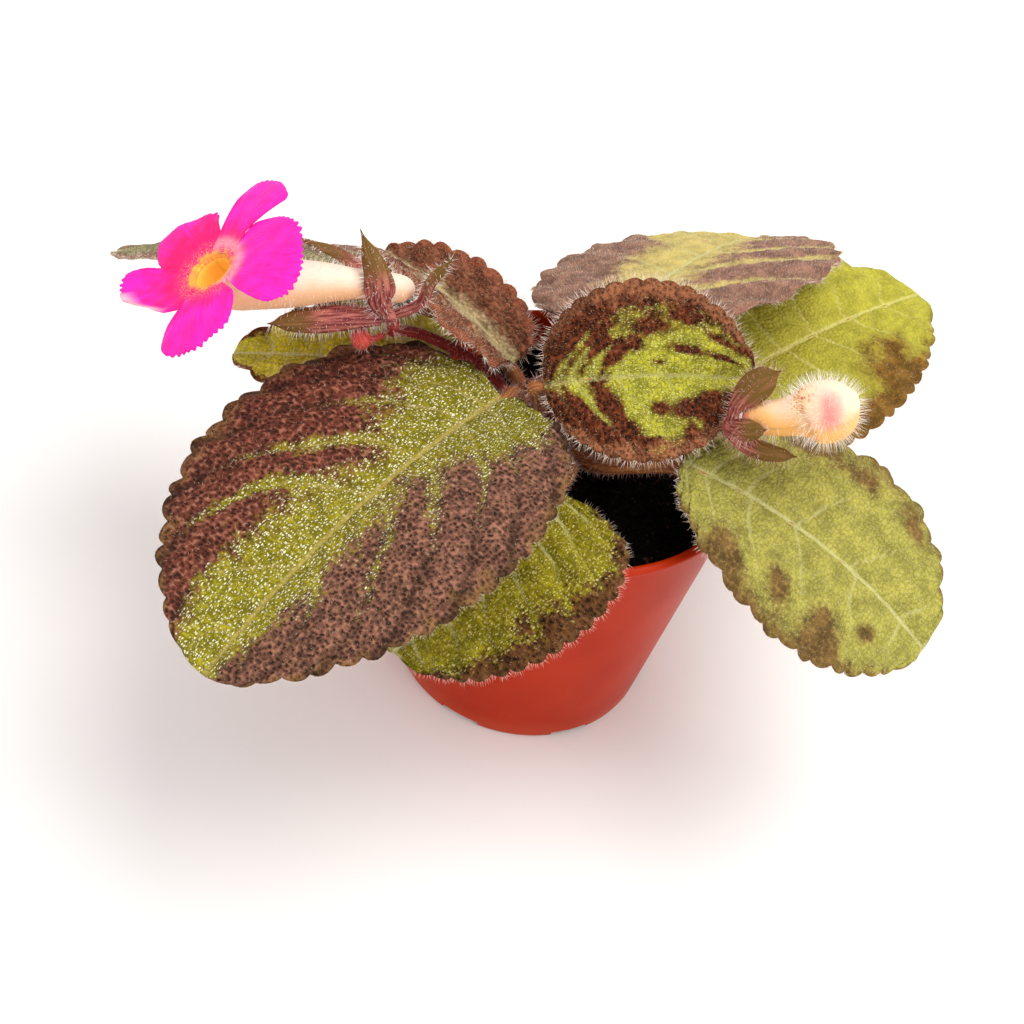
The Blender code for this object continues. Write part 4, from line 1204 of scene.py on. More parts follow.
COATS = {
    "front_left": Coat(
        rgb(138, 94, 76), rgb(178, 166, 32),
        ((0, 1.1), (0.1, 0.9), (0.2, 0.62), (0.3, 0.48), (0.4, 0.22), (0.5, 0.1), (0.6, 0.16),
         (0.7, 0.2), (0.8, 0.28), (0.9, 0.14), (1, 0.6)),
        ((0, 1.1), (0.08, 0.95), (0.16, 0.66), (0.3, 0.48), (0.4, 0.28), (0.5, 0.14),
         (0.6, 0.24), (0.7, 0.36), (0.8, 0.48), (0.9, 0.72), (1, 1.0)),
        ((0.06, 0.5, 0.8), (0.2, 0.5, 0.8), (0.32, 0.56, 0.8), (0.44, 0.5, 0.7),
         (0.55, 0.62, 0.6), (0.7, 0.38, 0.9), (0.82, 0.3, 0.7), (0.92, 0.3, 0.6)),
        ((0.06, 0.7, 0.9), (0.2, 0.5, 0.85), (0.32, 0.5, 0.9), (0.445, 0.66, 0.8),
         (0.555, 0.76, 0.9), (0.71, 0.62, 1.0), (0.84, 0.7, 0.9), (0.93, 0.6, 0.9)),
        (0.27, 0.27), 0.65, margin=rgb(140, 102, 58), margin_start=0.88, quilt=0.42,
        nap=0.25, other=rgb(126, 68, 52), glint_colour=rgb(255, 248, 206), soft=0.65, fringe=0.7,
        veins=0.8, vein=rgb(186, 166, 84), glints=0.38, arcs=2.6, pebble=0.95, pit_shading=1.0),
    "low_front": Coat(
        rgb(104, 66, 34), rgb(166, 154, 24),
        ((0, 1.0), (0.5, 0.66), (0.8, 0.8), (1, 0.9)),
        ((0, 1.0), (0.5, 0.9), (0.8, 0.9), (1, 0.9)),
        ribs(8, 0.85, 0.8), ribs(8, 0.9, 0.8), quilt=0.6, glint_colour=rgb(226, 214, 130),
        glint_amount=0.8, margin=rgb(116, 78, 46), margin_start=0.88, nap=0.4, grain=0.8),
    "left": Coat(
        rgb(120, 66, 34), rgb(226, 214, 44),
        ((0, 0.5), (0.4, 0.8), (0.8, 0.8), (1, 0.6)), ((0, 0.5), (0.5, 0.9), (1, 0.6)),
        ribs(6, 0.85, 0.6), ribs(6, 0.85, 0.6), quilt=0.4, glint_amount=0.35, pit_shading=0.5,
        margin=rgb(110, 62, 40), margin_start=0.9, grain=0.6),
    "back_left": Coat(
        rgb(150, 122, 98), rgb(176, 164, 116),
        ((0, 0.4), (0.6, 0.5), (1, 0.7)), ((0, 0.4), (0.6, 0.5), (1, 0.7)),
        ribs(7, 0.5, 0.5), ribs(7, 0.5, 0.5), quilt=0.4, under=rgb(172, 140, 118),
        glint_amount=0.2, pit_shading=0.3, margin=rgb(150, 110, 88)),
    "back_folded": Coat(
        rgb(140, 84, 60), rgb(200, 172, 128),
        ((0, 0.3), (0.5, 0.26), (0.9, 0.08), (1, 0.0)), ((0, 0.3), (0.5, 0.16), (1, 0.0)),
        ribs(6, 0.5, 0.45), ribs(6, 0.3, 0.35), quilt=0.6, glint_amount=0.15, pit_shading=0.5,
        under=rgb(160, 92, 70), margin=rgb(150, 84, 58), nap=2.0, grain=0.6, fringe=1.5,
        veins=0.4, soft=0.8),
    "centre": Coat(
        rgb(104, 50, 26), rgb(206, 200, 58),
        ((0, -0.5), (0.2, -0.35), (0.28, 0.0), (0.36, 0.4), (0.42, 0.58), (0.5, 0.66), (0.6, 0.7),
         (0.7, 0.68), (0.8, 0.6), (0.9, 0.44), (1, 0.3)),
        ((0, -0.5), (0.1, -0.3), (0.2, 0.2), (0.3, 0.66), (0.4, 0.82), (0.5, 0.86),
         (0.6, 0.8), (0.7, 0.5), (0.8, 0.28), (1, 0.1)),
        ((0.1, 0.3, 0.1), (0.22, 0.78, 0.5), (0.3, 0.8, 0.65), (0.39, 0.8, 0.9),
         (0.48, 0.76, 0.95), (0.6, 0.7, 0.95), (0.72, 0.6, 0.9), (0.84, 0.4, 0.8)),
        ((0.1, 0.3, 0.3), (0.2, 0.6, 0.5), (0.34, 0.82, 0.9), (0.49, 0.86, 0.95),
         (0.62, 0.74, 0.9), (0.76, 0.4, 0.8), (0.88, 0.3, 0.6)),
        (0.4, 0.12), 0.0, 0.0,
        ((1, 0.48, 0.33, 0.055, 0.1), (1, 0.45, 0.2, 0.03, 0.06), (1, 0.55, 0.52, 0.07, 0.1),
         (1, 0.63, 0.68, 0.045, 0.08), (1, 0.67, 0.32, 0.08, 0.07), (1, 0.8, 0.32, 0.06, 0.06),
         (1, 0.59, 0.15, 0.035, 0.05), (1, 0.38, 0.42, 0.03, 0.16), (1, 0.78, 0.55, 0.06, 0.08),
         (-1, 0.27, 0.42, 0.045, 0.17), (-1, 0.41, 0.35, 0.05, 0.15),
         (-1, 0.43, 0.64, 0.065, 0.13), (-1, 0.5, 0.78, 0.06, 0.07),
         (-1, 0.57, 0.42, 0.035, 0.12), (-1, 0.65, 0.45, 0.06, 0.13),
         (-1, 0.74, 0.32, 0.05, 0.12), (-1, 0.18, 0.4, 0.04, 0.2)),
        quilt=0.5, margin=rgb(158, 98, 66), margin_start=0.74, glint_amount=0.7,
        pebble=0.8, veins=0.3, glint_colour=rgb(248, 244, 150), nap=1.6, fringe=1.6, soft=0.7,
        start=0.3, arcs=1.4, ragged=0.5, finger=0.65),
    "back": Coat(
        rgb(166, 122, 104), rgb(218, 196, 114),
        ((0, 0.1), (0.25, 0.1), (0.35, 0.3), (0.5, 0.36), (0.65, 0.45), (0.75, 1.1), (1, 1.1)),
        ((0, 0.1), (0.2, 0.15), (0.5, 0.2), (0.85, 0.2), (0.92, 1.0), (1, 1.0)),
        ((0.08, 0.2, 0.3), (0.22, 0.3, 0.4), (0.36, 0.35, 0.5), (0.5, 0.5, 0.8),
         (0.62, 0.8, 0.9), (0.74, 1.0, 0.9), (0.86, 1.0, 0.9)),
        ((0.08, 0.4, 0.3), (0.22, 0.6, 0.6), (0.36, 0.9, 0.8), (0.5, 1.0, 0.85),
         (0.62, 1.0, 0.85), (0.74, 1.0, 0.8), (0.86, 0.8, 0.7)),
        (0.12, 0.12), quilt=0.4, glint_amount=0.1, pit_shading=0.12, pebble=0.8, margin=rgb(150, 100, 82),
        margin_start=0.92, nap=1.4, grain=0.2, soft=0.9, fringe=1.2, ragged=0.8),
    "back_right": Coat(
        rgb(140, 100, 40), rgb(202, 194, 66),
        ((0, 1.1), (0.5, 1.1), (1, 1.1)), ((0, 1.0), (0.5, 1.0), (0.8, 0.95), (1, 1.0)),
        ribs(7, 1.0, 0.9), ribs(7, 1.0, 0.7), (0.16, 0.16), 0.9, 0.0,
        ((-1, 0.62, 0.62, 0.11, 0.3), (-1, 0.5, 0.92, 0.16, 0.14), (-1, 0.34, 0.9, 0.1, 0.2)),
        quilt=0.42, glint_amount=0.16, pit_shading=0.12, veins=0.7, pebble=0.8, margin_start=0.93,
        margin=rgb(136, 96, 50), glint_colour=rgb(232, 228, 150), vein=rgb(220, 212, 130), nap=0.5,
        grain=0.35, soft=0.9, ragged=0.6),
    "right": Coat(
        rgb(134, 104, 58), rgb(188, 180, 82),
        ((0, 0.95), (0.5, 0.95), (1, 1.0)), ((0, 0.9), (0.4, 0.85), (0.7, 0.9), (1, 1.0)),
        ribs(7, 0.95, 0.9), ribs(7, 0.9, 0.9), (0.08, 0.08), 0.3, 0.0,
        ((1, 0.4, 0.8, 0.08, 0.13), (1, 0.53, 0.74, 0.05, 0.1), (1, 0.68, 0.8, 0.05, 0.1),
         (-1, 0.33, 0.74, 0.07, 0.26), (-1, 0.5, 0.62, 0.035, 0.16),
         (-1, 0.63, 0.74, 0.06, 0.26), (-1, 0.74, 0.5, 0.03, 0.14)),
        quilt=0.45, glint_amount=0.3, pit_shading=0.25, veins=0.7, pebble=0.85, margin_start=0.88,
        margin=rgb(128, 98, 52), glint_colour=rgb(234, 230, 166), nap=0.4, grain=0.6, soft=0.9, ragged=0.8),
}

DARK, GREEN = "dark_leaf", "green_leaf"
LEAVES = (
    Leaf("leaf_front_left", DARK, (-12.5, -9.5, 66.0), 238, 7, 3, -26, 5, -2, 65.5, 55.0, 9, 65,
         -0.10, 0.15, 0.00, 1.00, 0.70, 23, 1.0, 0.6, 57.4, 226, 57.0, ((-10.6, -5.2, 62.8),),
         1.4, COATS["front_left"]),
    Leaf("leaf_low_front", GREEN, (-1.5, -19.5, 59.5), 234, -2, -7, -62, -8, -2, 36.5, 39.0, 5,
         90, 0.05, 0.30, 0.05, 0.80, 0.50, 18, 0.8, 0.6, 41.0, 272, 53.0,
         ((0.5, -12.0, 57.0),), 1.2, COATS["low_front"]),
    Leaf("leaf_left", GREEN, (-23.5, 3.5, 57.0), 182, -1, -7, -18, 1, 0, 35.0, 29.0, 12, 150,
         0.0, 0.30, 0.20, 0.80, 0.75, 13, 0.8, 0.5, 36.9, 172, 51.5, ((-14.0, 2.0, 54.2),),
         1.2, COATS["left"]),
    Leaf("leaf_back_left", DARK, (-32.5, 11.5, 63.5), 172, 1, -3, -25, 24, 0, 52.5, 28.0, 7,
         200, 0.0, 0.30, 0.15, 0.80, 0.55, 16, 0.7, 0.4, 41.0, 142, 54.8,
         ((-22.0, 9.0, 62.0), (-12.0, 4.5, 58.6)), 1.2, COATS["back_left"]),
    Leaf("leaf_back_folded", DARK, (-12.1, 2.2, 62.8), 149, 2, 22, -7, 3, 2, 29.5, 23.5, 34,
         200, 0.30, 0.05, 0.10, 0.80, 0.60, 12, 1.1, 0.5, 28.7, 160, 60.8, (), 1.0,
         COATS["back_folded"]),
    Leaf("leaf_centre", GREEN, (-6.5, -9.0, 70.0), 22, 2, 11, -13, 41, 3, 35.0, 29.0, 11, 87,
         0.05, 0.00, 0.00, 0.85, 0.85, 17, 0.5, 0.4, 41.0, 278, 59.8, ((-7.4, -7.6, 66.0),),
         1.0, COATS["centre"]),
    Leaf("leaf_back", DARK, (0.0, 11.5, 67.2), 62, 5, 2, -32, -29, 5, 61.5, 50.5, 4, 118,
         0.0, 0.05, 0.05, 0.80, 0.60, 21, 0.7, 0.5, 53.3, 80, 59.0, ((-3.0, 6.0, 64.5),),
         1.2, COATS["back"]),
    Leaf("leaf_back_right", GREEN, (23.0, 16.2, 57.3), 53, -3, 4, -14, 2, 1, 54.0, 44.0, 4, 105,
         0.05, 0.30, 0.20, 0.80, 0.80, 18, 0.8, 0.5, 49.2, 38, 53.4,
         ((14.0, 10.0, 56.8), (6.0, 4.0, 54.6)), 1.2, COATS["back_right"]),
    Leaf("leaf_right", GREEN, (17.5, -8.0, 60.5), -12, -7, -1, -36, 0, 13, 49.5, 41.0, 6, 118,
         0.0, 0.00, -0.10, 0.95, 0.55, 19, 0.8, 0.5, 49.2, 318, 51.5,
         ((11.5, -8.8, 58.4), (5.5, -8.4, 55.8)), 1.45, COATS["right"]),
)


# Bloom and bud

@dataclass(frozen=True)
class Lobe:
    """One lobe of the limb: which way it points, how it bends and how it is cut.

    The edge is a row of points, as millimetres out from the throat and aside, from one
    side of the lobe's foot round its end to the other. toothed is the part of it that
    bears teeth.
    """

    angle: float
    reach: float
    width: float
    lift: float
    tip_lift: float
    sag: float
    edge: tuple
    toothed: tuple = (0.3, 0.8)
    curl: float = 0.0


@dataclass(frozen=True)
class Calyx:
    """Pointed hairy sepals that grow from one small cup."""

    name: str
    cup: tuple
    straps: tuple
    tip_start: float = 0.45
    thickness: float = 0.45
    rows: int = 26
    columns: int = 8

    def build(self, grower: Grower, down: bpy.types.Material) -> None:
        """Build the sepals and their hairs."""
        shape = Shape()
        centre = np.array(self.cup[:3])
        angles = np.linspace(0, 2 * math.pi, 16, endpoint=False)
        rings = []
        for k in range(1, 9):
            tilt = math.pi * k / 9
            rings.append(np.stack([np.cos(angles) * math.sin(tilt),
                                   np.sin(angles) * math.sin(tilt),
                                   np.full(16, -math.cos(tilt))], -1))
        ball = centre + np.array(rings) * self.cup[3] * 1.08
        flat = np.stack(np.broadcast_arrays(angles[None, :], np.arange(8.0)[:, None]), -1)
        first = shape.grid(ball, flat, {"along": 0.0, "hair": 1.0}, 0, around=True, flip=False)
        for row, turn in ((0, True), (7, False)):
            middle = shape.put(ball[row].mean(0)[None, :], flat[row, :1],
                               {"along": 0.0, "hair": 1.0})
            start = first + row * 16
            fan = [(middle, start + j, start + (j + 1) % 16) for j in range(16)]
            shape.join([trio[::-1] if turn else trio for trio in fan])
        for line, widths, facing in self.straps:
            self._strap(shape, line, widths, np.array(facing, float))
        skin = Tissue(self.name + "_skin", rgb(194, 116, 102), rgb(112, 40, 48),
                      rgb(108, 84, 28), 0.55, self.tip_start)
        piece = settle(shape.build(self.name + "_piece", [skin.material()]), "sepal_tissue",
                       self.name)
        for label, where, density, long in (("hairs", "hair", 1.5e6, 0.001),
                                            ("fringe", "fringe", 2.6e7, 0.0018)):
            settle(grower.grow(grower.hair, piece, f"{self.name}_{label}", down,
                               Density=density, Where=where, Length=long, Radius=0.00004,
                               Lean=0.35), "sepal_tissue")

    def _strap(self, shape: Shape, line: tuple, widths: tuple, facing: Points) -> None:
        """Add one sepal: dished, ribbed along its middle and drawn out to a point."""
        path = smooth_line(line, self.rows)
        wide = smooth_line([(w, 0) for w in widths], self.rows)[:, 0]
        wide = wide * np.clip(np.linspace(1, 0, self.rows) * 7, 0.1, 1)
        ahead = unit(np.gradient(path, axis=0))
        across = unit(np.cross(ahead, unit(facing)))
        normal = np.cross(across, ahead)
        s = np.linspace(-1, 1, self.columns + 1)[None, :, None]
        spot = path[:, None] + across[:, None] * s * wide[:, None, None] / 2
        drop = np.abs(s) ** 1.5 * 0.16 * wide[:, None, None]
        drop = drop + 0.12 * np.cos(s * math.pi * 2.5)
        middle = spot - normal[:, None] * drop
        half = self.thickness / 2 * (1 - 0.7 * s ** 4)
        share = np.linspace(0, 1, self.rows)[:, None]
        run = share * np.linalg.norm(np.diff(path, axis=0), axis=1).sum()
        flat = np.stack(np.broadcast_arrays(run, s[..., 0] * wide[:, None] / 2), -1)
        keeps = {"along": share, "hair": 1.0}
        over = shape.grid(middle + normal[:, None] * half, flat, keeps, flip=False)
        under = shape.grid(middle - normal[:, None] * half, flat, keeps, flip=True)
        rows, columns = self.rows, self.columns + 1
        loop = [j for j in range(columns)]
        loop += [i * columns + columns - 1 for i in range(1, rows)]
        loop += [(rows - 1) * columns + j for j in range(columns - 2, -1, -1)]
        loop += [i * columns for i in range(rows - 2, 0, -1)]
        faces = []
        for a, b in zip(loop, loop[1:] + loop[:1]):
            faces.append((over + b, over + a, under + a, under + b))
        shape.join(faces, 0, 1.0)


@dataclass(frozen=True)
class Stalk:
    """A hairy flower stalk that meets the stem."""

    name: str
    line: tuple
    seat: tuple

    def build(self, stem: Stem, grower: Grower, down: bpy.types.Material) -> None:
        """Build the stalk and its hairs."""
        end = stem.seat(*self.seat)
        knots = list(self.line) + [(*end, self.line[-1][3])]
        line = smooth_line(knots, 48)
        sweep = Sweep(line, 14)
        rings = [(arc, row[3]) for arc, row in zip(sweep.arc, line)]
        shape = Shape()
        sweep.add(shape, rings, lambda share, arc, normals: {
            "along": np.zeros(normals.shape[:2]), "hair": np.ones(normals.shape[:2])})
        skin = Tissue(self.name + "_skin", rgb(176, 64, 58), rgb(136, 40, 42),
                      rgb(176, 64, 58), 0.45)
        piece = settle(shape.build(self.name + "_piece", [skin.material()]), "stem_tissue",
                       self.name)
        settle(grower.grow(grower.hair, piece, self.name + "_hairs", down, Density=2.4e6,
                           Where="hair", Length=0.0016, Radius=0.000045, Lean=0.6),
               "stem_tissue")


@dataclass(frozen=True)
class Bloom:
    """The open bloom: a tube with a back spur, a throat and five toothed lobes."""

    tube: tuple = ((-29.6, -3.4, 77.0, 1.2), (-31.0, -3.9, 77.5, 2.1), (-34.0, -4.9, 77.9, 2.3),
                   (-37.5, -6.0, 78.2, 2.3), (-42.0, -7.5, 78.3, 3.0), (-46.5, -9.3, 78.2, 3.6),
                   (-51.0, -11.1, 78.1, 3.8))
    throat: tuple = (-58.2, -13.6, 80.4)
    facing: tuple = (-0.58, -0.15, 0.80)
    end_radius: float = 3.6
    mouth_radius: float = 2.7
    mouth_depth: float = 6.0
    bend_radius: float = 5.0
    lobe_start: float = 3.25
    foot_spread: float = 38.0
    rows: int = 22
    columns: int = 130
    thickness: float = 0.36
    lobes: tuple = (
        Lobe(152, 17.6, 9.8, 14, -18, -0.5, (
            (6.5, -3.3), (8.3, -3.5), (9.8, -3.8), (11.0, -4.6), (12.8, -6.2), (14.1, -6.7),
            (15.7, -6.0), (18.3, -3.0), (18.9, -0.8), (18.5, 0.9), (17.5, 1.9), (15.4, 2.1),
            (13.0, 2.0), (10.5, 1.8), (8.1, 1.5), (6.7, 1.3)), (0.5, 0.72)),
        Lobe(80, 15.6, 15.0, 10, -12, -0.8, (
            (5.8, -5.8), (7.4, -7.3), (9.5, -8.9), (11.3, -9.8), (12.8, -9.3), (14.2, -8.5),
            (15.3, -7.2), (15.9, -5.6), (16.0, -3.2), (15.9, -0.7), (15.3, 1.9), (14.2, 4.3),
            (12.6, 6.0), (10.5, 7.2), (8.5, 7.5), (6.5, 7.2), (5.2, 6.0)), (0.2, 0.82)),
        Lobe(-11, 15.6, 11.8, 8, -24, -0.6, (
            (4.9, -1.4), (6.1, -2.9), (7.5, -4.9), (9.4, -6.2), (11.1, -6.8), (12.6, -6.7),
            (13.9, -5.5), (14.4, -3.0), (14.5, -1.3), (14.1, 0.0), (13.3, 1.3), (12.5, 3.0),
            (11.1, 4.6), (9.4, 5.4), (7.4, 5.6), (5.5, 5.0)), (0.38, 0.85)),
        Lobe(-93, 15.6, 11.4, 10, 20, 0.9, (
            (6.0, -2.2), (8.2, -3.5), (10.8, -4.2), (12.8, -4.0), (13.9, -2.9), (14.4, -1.1),
            (14.1, 1.1), (13.0, 3.6), (11.2, 5.3), (9.0, 6.2), (7.6, 6.6), (5.6, 6.4),
            (4.4, 5.6)), (0.3, 0.5), 1.0),
        Lobe(-155, 14.9, 13.2, 16, -6, -0.6, (
            (5.1, -4.3), (7.4, -5.2), (10.0, -5.9), (11.3, -5.0), (12.3, -3.3), (13.4, -1.1),
            (13.8, 1.0), (13.3, 3.1), (11.9, 4.7), (9.7, 5.6), (7.6, 5.6), (5.4, 4.5)),
            (0.12, 0.3)))

    def axes(self) -> tuple[Points, Points, Points]:
        """Return the limb's two flat directions and the way it faces."""
        facing = unit(self.facing)
        first = unit(np.cross((0, 0, 1), facing))
        return first, np.cross(facing, first), facing

    def path(self) -> Points:
        """Return the tube's axis and radii from its spur to the throat."""
        facing = self.axes()[2]
        end = np.array(self.throat) - facing * 0.2
        run = unit(np.array(self.tube[-1][:3]) - np.array(self.tube[-3][:3]))
        side = unit(run - facing * run.dot(facing))
        bend = math.acos(run.dot(facing))
        bent = [(*end, self.end_radius)]
        for k in range(9):
            turn = bend * k / 8
            spot = (end - facing * 0.8 - side * self.bend_radius * (1 - math.cos(turn))
                    - facing * self.bend_radius * math.sin(turn))
            bent.append((*spot, self.end_radius))
        straight = smooth_line(self.tube, 40)
        return np.vstack([straight, bent[::-1]])

    def build_tube(self, grower: Grower, down: bpy.types.Material) -> None:
        """Build the tube, hollow from its throat inwards, and its hairs."""
        line = self.path()
        sweep = Sweep(line, 30)
        outer = [(arc, row[3]) for arc, row in zip(sweep.arc, line)]
        full = float(sweep.arc[-1])
        outer[-1] = (full, self.end_radius - 0.1)
        inner = [(full - 0.1, self.mouth_radius + 0.4)]
        for k in range(1, 13):
            inner.append((full - self.mouth_depth * k / 12,
                          self.mouth_radius * math.cos(math.radians(7.2 * k)) + 0.1))
        turned = len(outer)

        def keeps(share: Points, arc: Points, normals: Points) -> dict:
            """Return the tube's numbers: which way is up, for the painted highlight on top, and what is inside."""
            inside = np.zeros(normals.shape[:2])
            inside[turned:] = 1.0
            return {"up": normals[..., 2], "blush": inside * 0, "freckle": inside * 0,
                    "fold": inside * 0,
                    "inside": inside, "hair": (1 - inside) * (arc < full - 1.0)}

        shape = Shape()
        sweep.add(shape, outer + inner, keeps)
        material = CreamFinish("bloom_tube").material()
        piece = settle(shape.build("flower_tube_piece", [material]), "pale_petal",
                       "flower_tube")
        settle(grower.grow(grower.hair, piece, "flower_tube_hairs", down, Density=1.3e6,
                           Where="hair", Length=0.0012, Radius=0.00004, Lean=0.5),
               "pale_petal")

    def build_limb(self) -> None:
        """Build the five lobes and the ring round the throat as one piece."""
        shape = Shape()
        first, second, facing = self.axes()
        centre = np.array(self.throat)
        angles = np.linspace(0, 2 * math.pi, 48, endpoint=False)
        way = np.cos(angles)[:, None] * first + np.sin(angles)[:, None] * second
        profile = ((2.9, -1.0), (2.95, -0.4), (3.1, 0.0), (3.4, 0.22), (3.8, 0.28), (4.3, 0.2),
                   (4.7, 0.0), (4.6, -0.25), (4.0, -0.45), (3.5, -1.0), (3.1, -1.05))
        ring = np.array([centre + way * r + facing * h for r, h in profile])
        flat = np.stack(np.broadcast_arrays(np.array([p[0] for p in profile])[:, None],
                                            angles[None, :] * 4), -1)
        out = np.array([p[0] for p in profile])[:, None]
        pale = np.exp(-((angles - 0.9) / 0.9) ** 2)[None, :] * np.clip(out - 3.6, 0, 1) * 0.9
        start = shape.grid(ring, flat, {"out": out, "pale": pale, "glow": 0.9}, around=True)
        last = start + (len(profile) - 1) * 48
        shape.join([(last + j, last + (j + 1) % 48, start + (j + 1) % 48, start + j)
                    for j in range(48)])
        for number, lobe in enumerate(self.lobes):
            self._lobe(shape, lobe, number)
        settle(shape.build("flower_limb_piece", [PetalFinish().material()]), "vivid_petal",
               "flower_limb")

    def _lobe(self, shape: Shape, lobe: Lobe, number: int) -> None:
        """Add one lobe: widening from the throat to a finely toothed, bent end."""
        first, second, facing = self.axes()
        angle = math.radians(lobe.angle)
        out = first * math.cos(angle) + second * math.sin(angle)
        across = np.cross(facing, out)
        s = np.linspace(0, 1, self.rows)[:, None]
        t = np.linspace(0, 1, self.columns + 1)
        edge = smooth_line([(*spot, 0.0) for spot in lobe.edge], self.columns + 1)[:, :2]
        span = np.linalg.norm(np.diff(edge, axis=0), axis=1).sum()
        round_edge = unit(np.gradient(edge, axis=0))
        count = round(span / 1.15)
        bite = np.abs(np.sin(math.pi * count * (t + 0.012 * np.sin(23 * t + number)))) - 0.45
        bite = bite * (0.6 + 0.25 * np.sin(37 * t + 2 * number))
        bite = bite * np.clip((t - lobe.toothed[0]) * 14, 0.12, 1)
        bite = bite * np.clip((lobe.toothed[1] - t) * 14, 0.12, 1)
        edge = edge + bite[:, None] * np.stack([-round_edge[:, 1], round_edge[:, 0]], -1) * -0.9
        turn = np.radians(self.foot_spread) * (2 * t - 1)
        foot = self.lobe_start * np.stack([np.cos(turn), np.sin(turn)], -1)
        spread = foot + (edge - foot) * (s[..., None] ** 0.95)
        far, aside = spread[..., 0], spread[..., 1]
        run = np.maximum(far - self.lobe_start, 0)
        part = run / (lobe.reach - self.lobe_start)
        bend = np.radians(lobe.lift + (lobe.tip_lift - lobe.lift) * part / 2)
        rise = run * np.sin(bend) + lobe.sag * (2 * aside / lobe.width) ** 2 * part
        rise = rise + 0.24 * s ** 2 * np.sin(9 * t + 2 * number) * np.sin(3 * t)
        rise = rise + 0.1 * s * np.sin(34 * t + number)
        rolled = lobe.curl * np.clip(1 - np.abs(t - 0.66) / 0.2, 0, 1) ** 0.7
        rolled = rolled * np.clip(s * 4 - 3, 0, 1) ** 1.5
        rise = rise + 1.5 * rolled
        plan = centre_plan(np.array(self.throat), out, across, facing, far,
                           aside - 0.8 * rolled, rise)
        ahead = np.gradient(plan, axis=0)
        wide = np.gradient(plan, axis=1)
        normal = unit(np.cross(ahead, wide))
        thin = self.thickness / 2 * (1 - 0.6 * s ** 3)[..., None]
        distance = np.hypot(far, aside)
        bearing = np.arctan2(aside, far + 2.0)
        flat = np.stack([distance + 20 * number, bearing * 12], -1)
        pale = np.exp(-((distance - 5.0) / 1.0) ** 2) * (0.6 if number < 2 else 0.05)
        fade = np.maximum(pale, np.clip(rolled * 2.5, 0, 1))
        glow = np.clip(1.25 - distance / (9.5, 6.5, 8.0, 11.0, 14.0)[number], 0, 1)
        keeps = {"out": distance, "pale": fade, "glow": glow}
        over = shape.grid(plan + normal * thin, flat, keeps, flip=False)
        under = shape.grid(plan - normal * thin, flat, keeps, flip=True)
        columns = self.columns + 1
        loop = list(range(columns))
        loop += [i * columns + columns - 1 for i in range(1, self.rows)]
        loop += [(self.rows - 1) * columns + j for j in range(columns - 2, -1, -1)]
        loop += [i * columns for i in range(self.rows - 2, 0, -1)]
        shape.join([(over + b, over + a, under + a, under + b)
                    for a, b in zip(loop, loop[1:] + loop[:1])])


def centre_plan(centre: Points, out: Points, across: Points, up: Points, far: Points,
                wide: Points, high: Points) -> Points:
    """Return points given by how far out, how wide and how high they are from a centre."""
    far, wide, high = np.broadcast_arrays(far, wide, high)
    return (centre + out * far[..., None] + across * wide[..., None] + up * high[..., None])


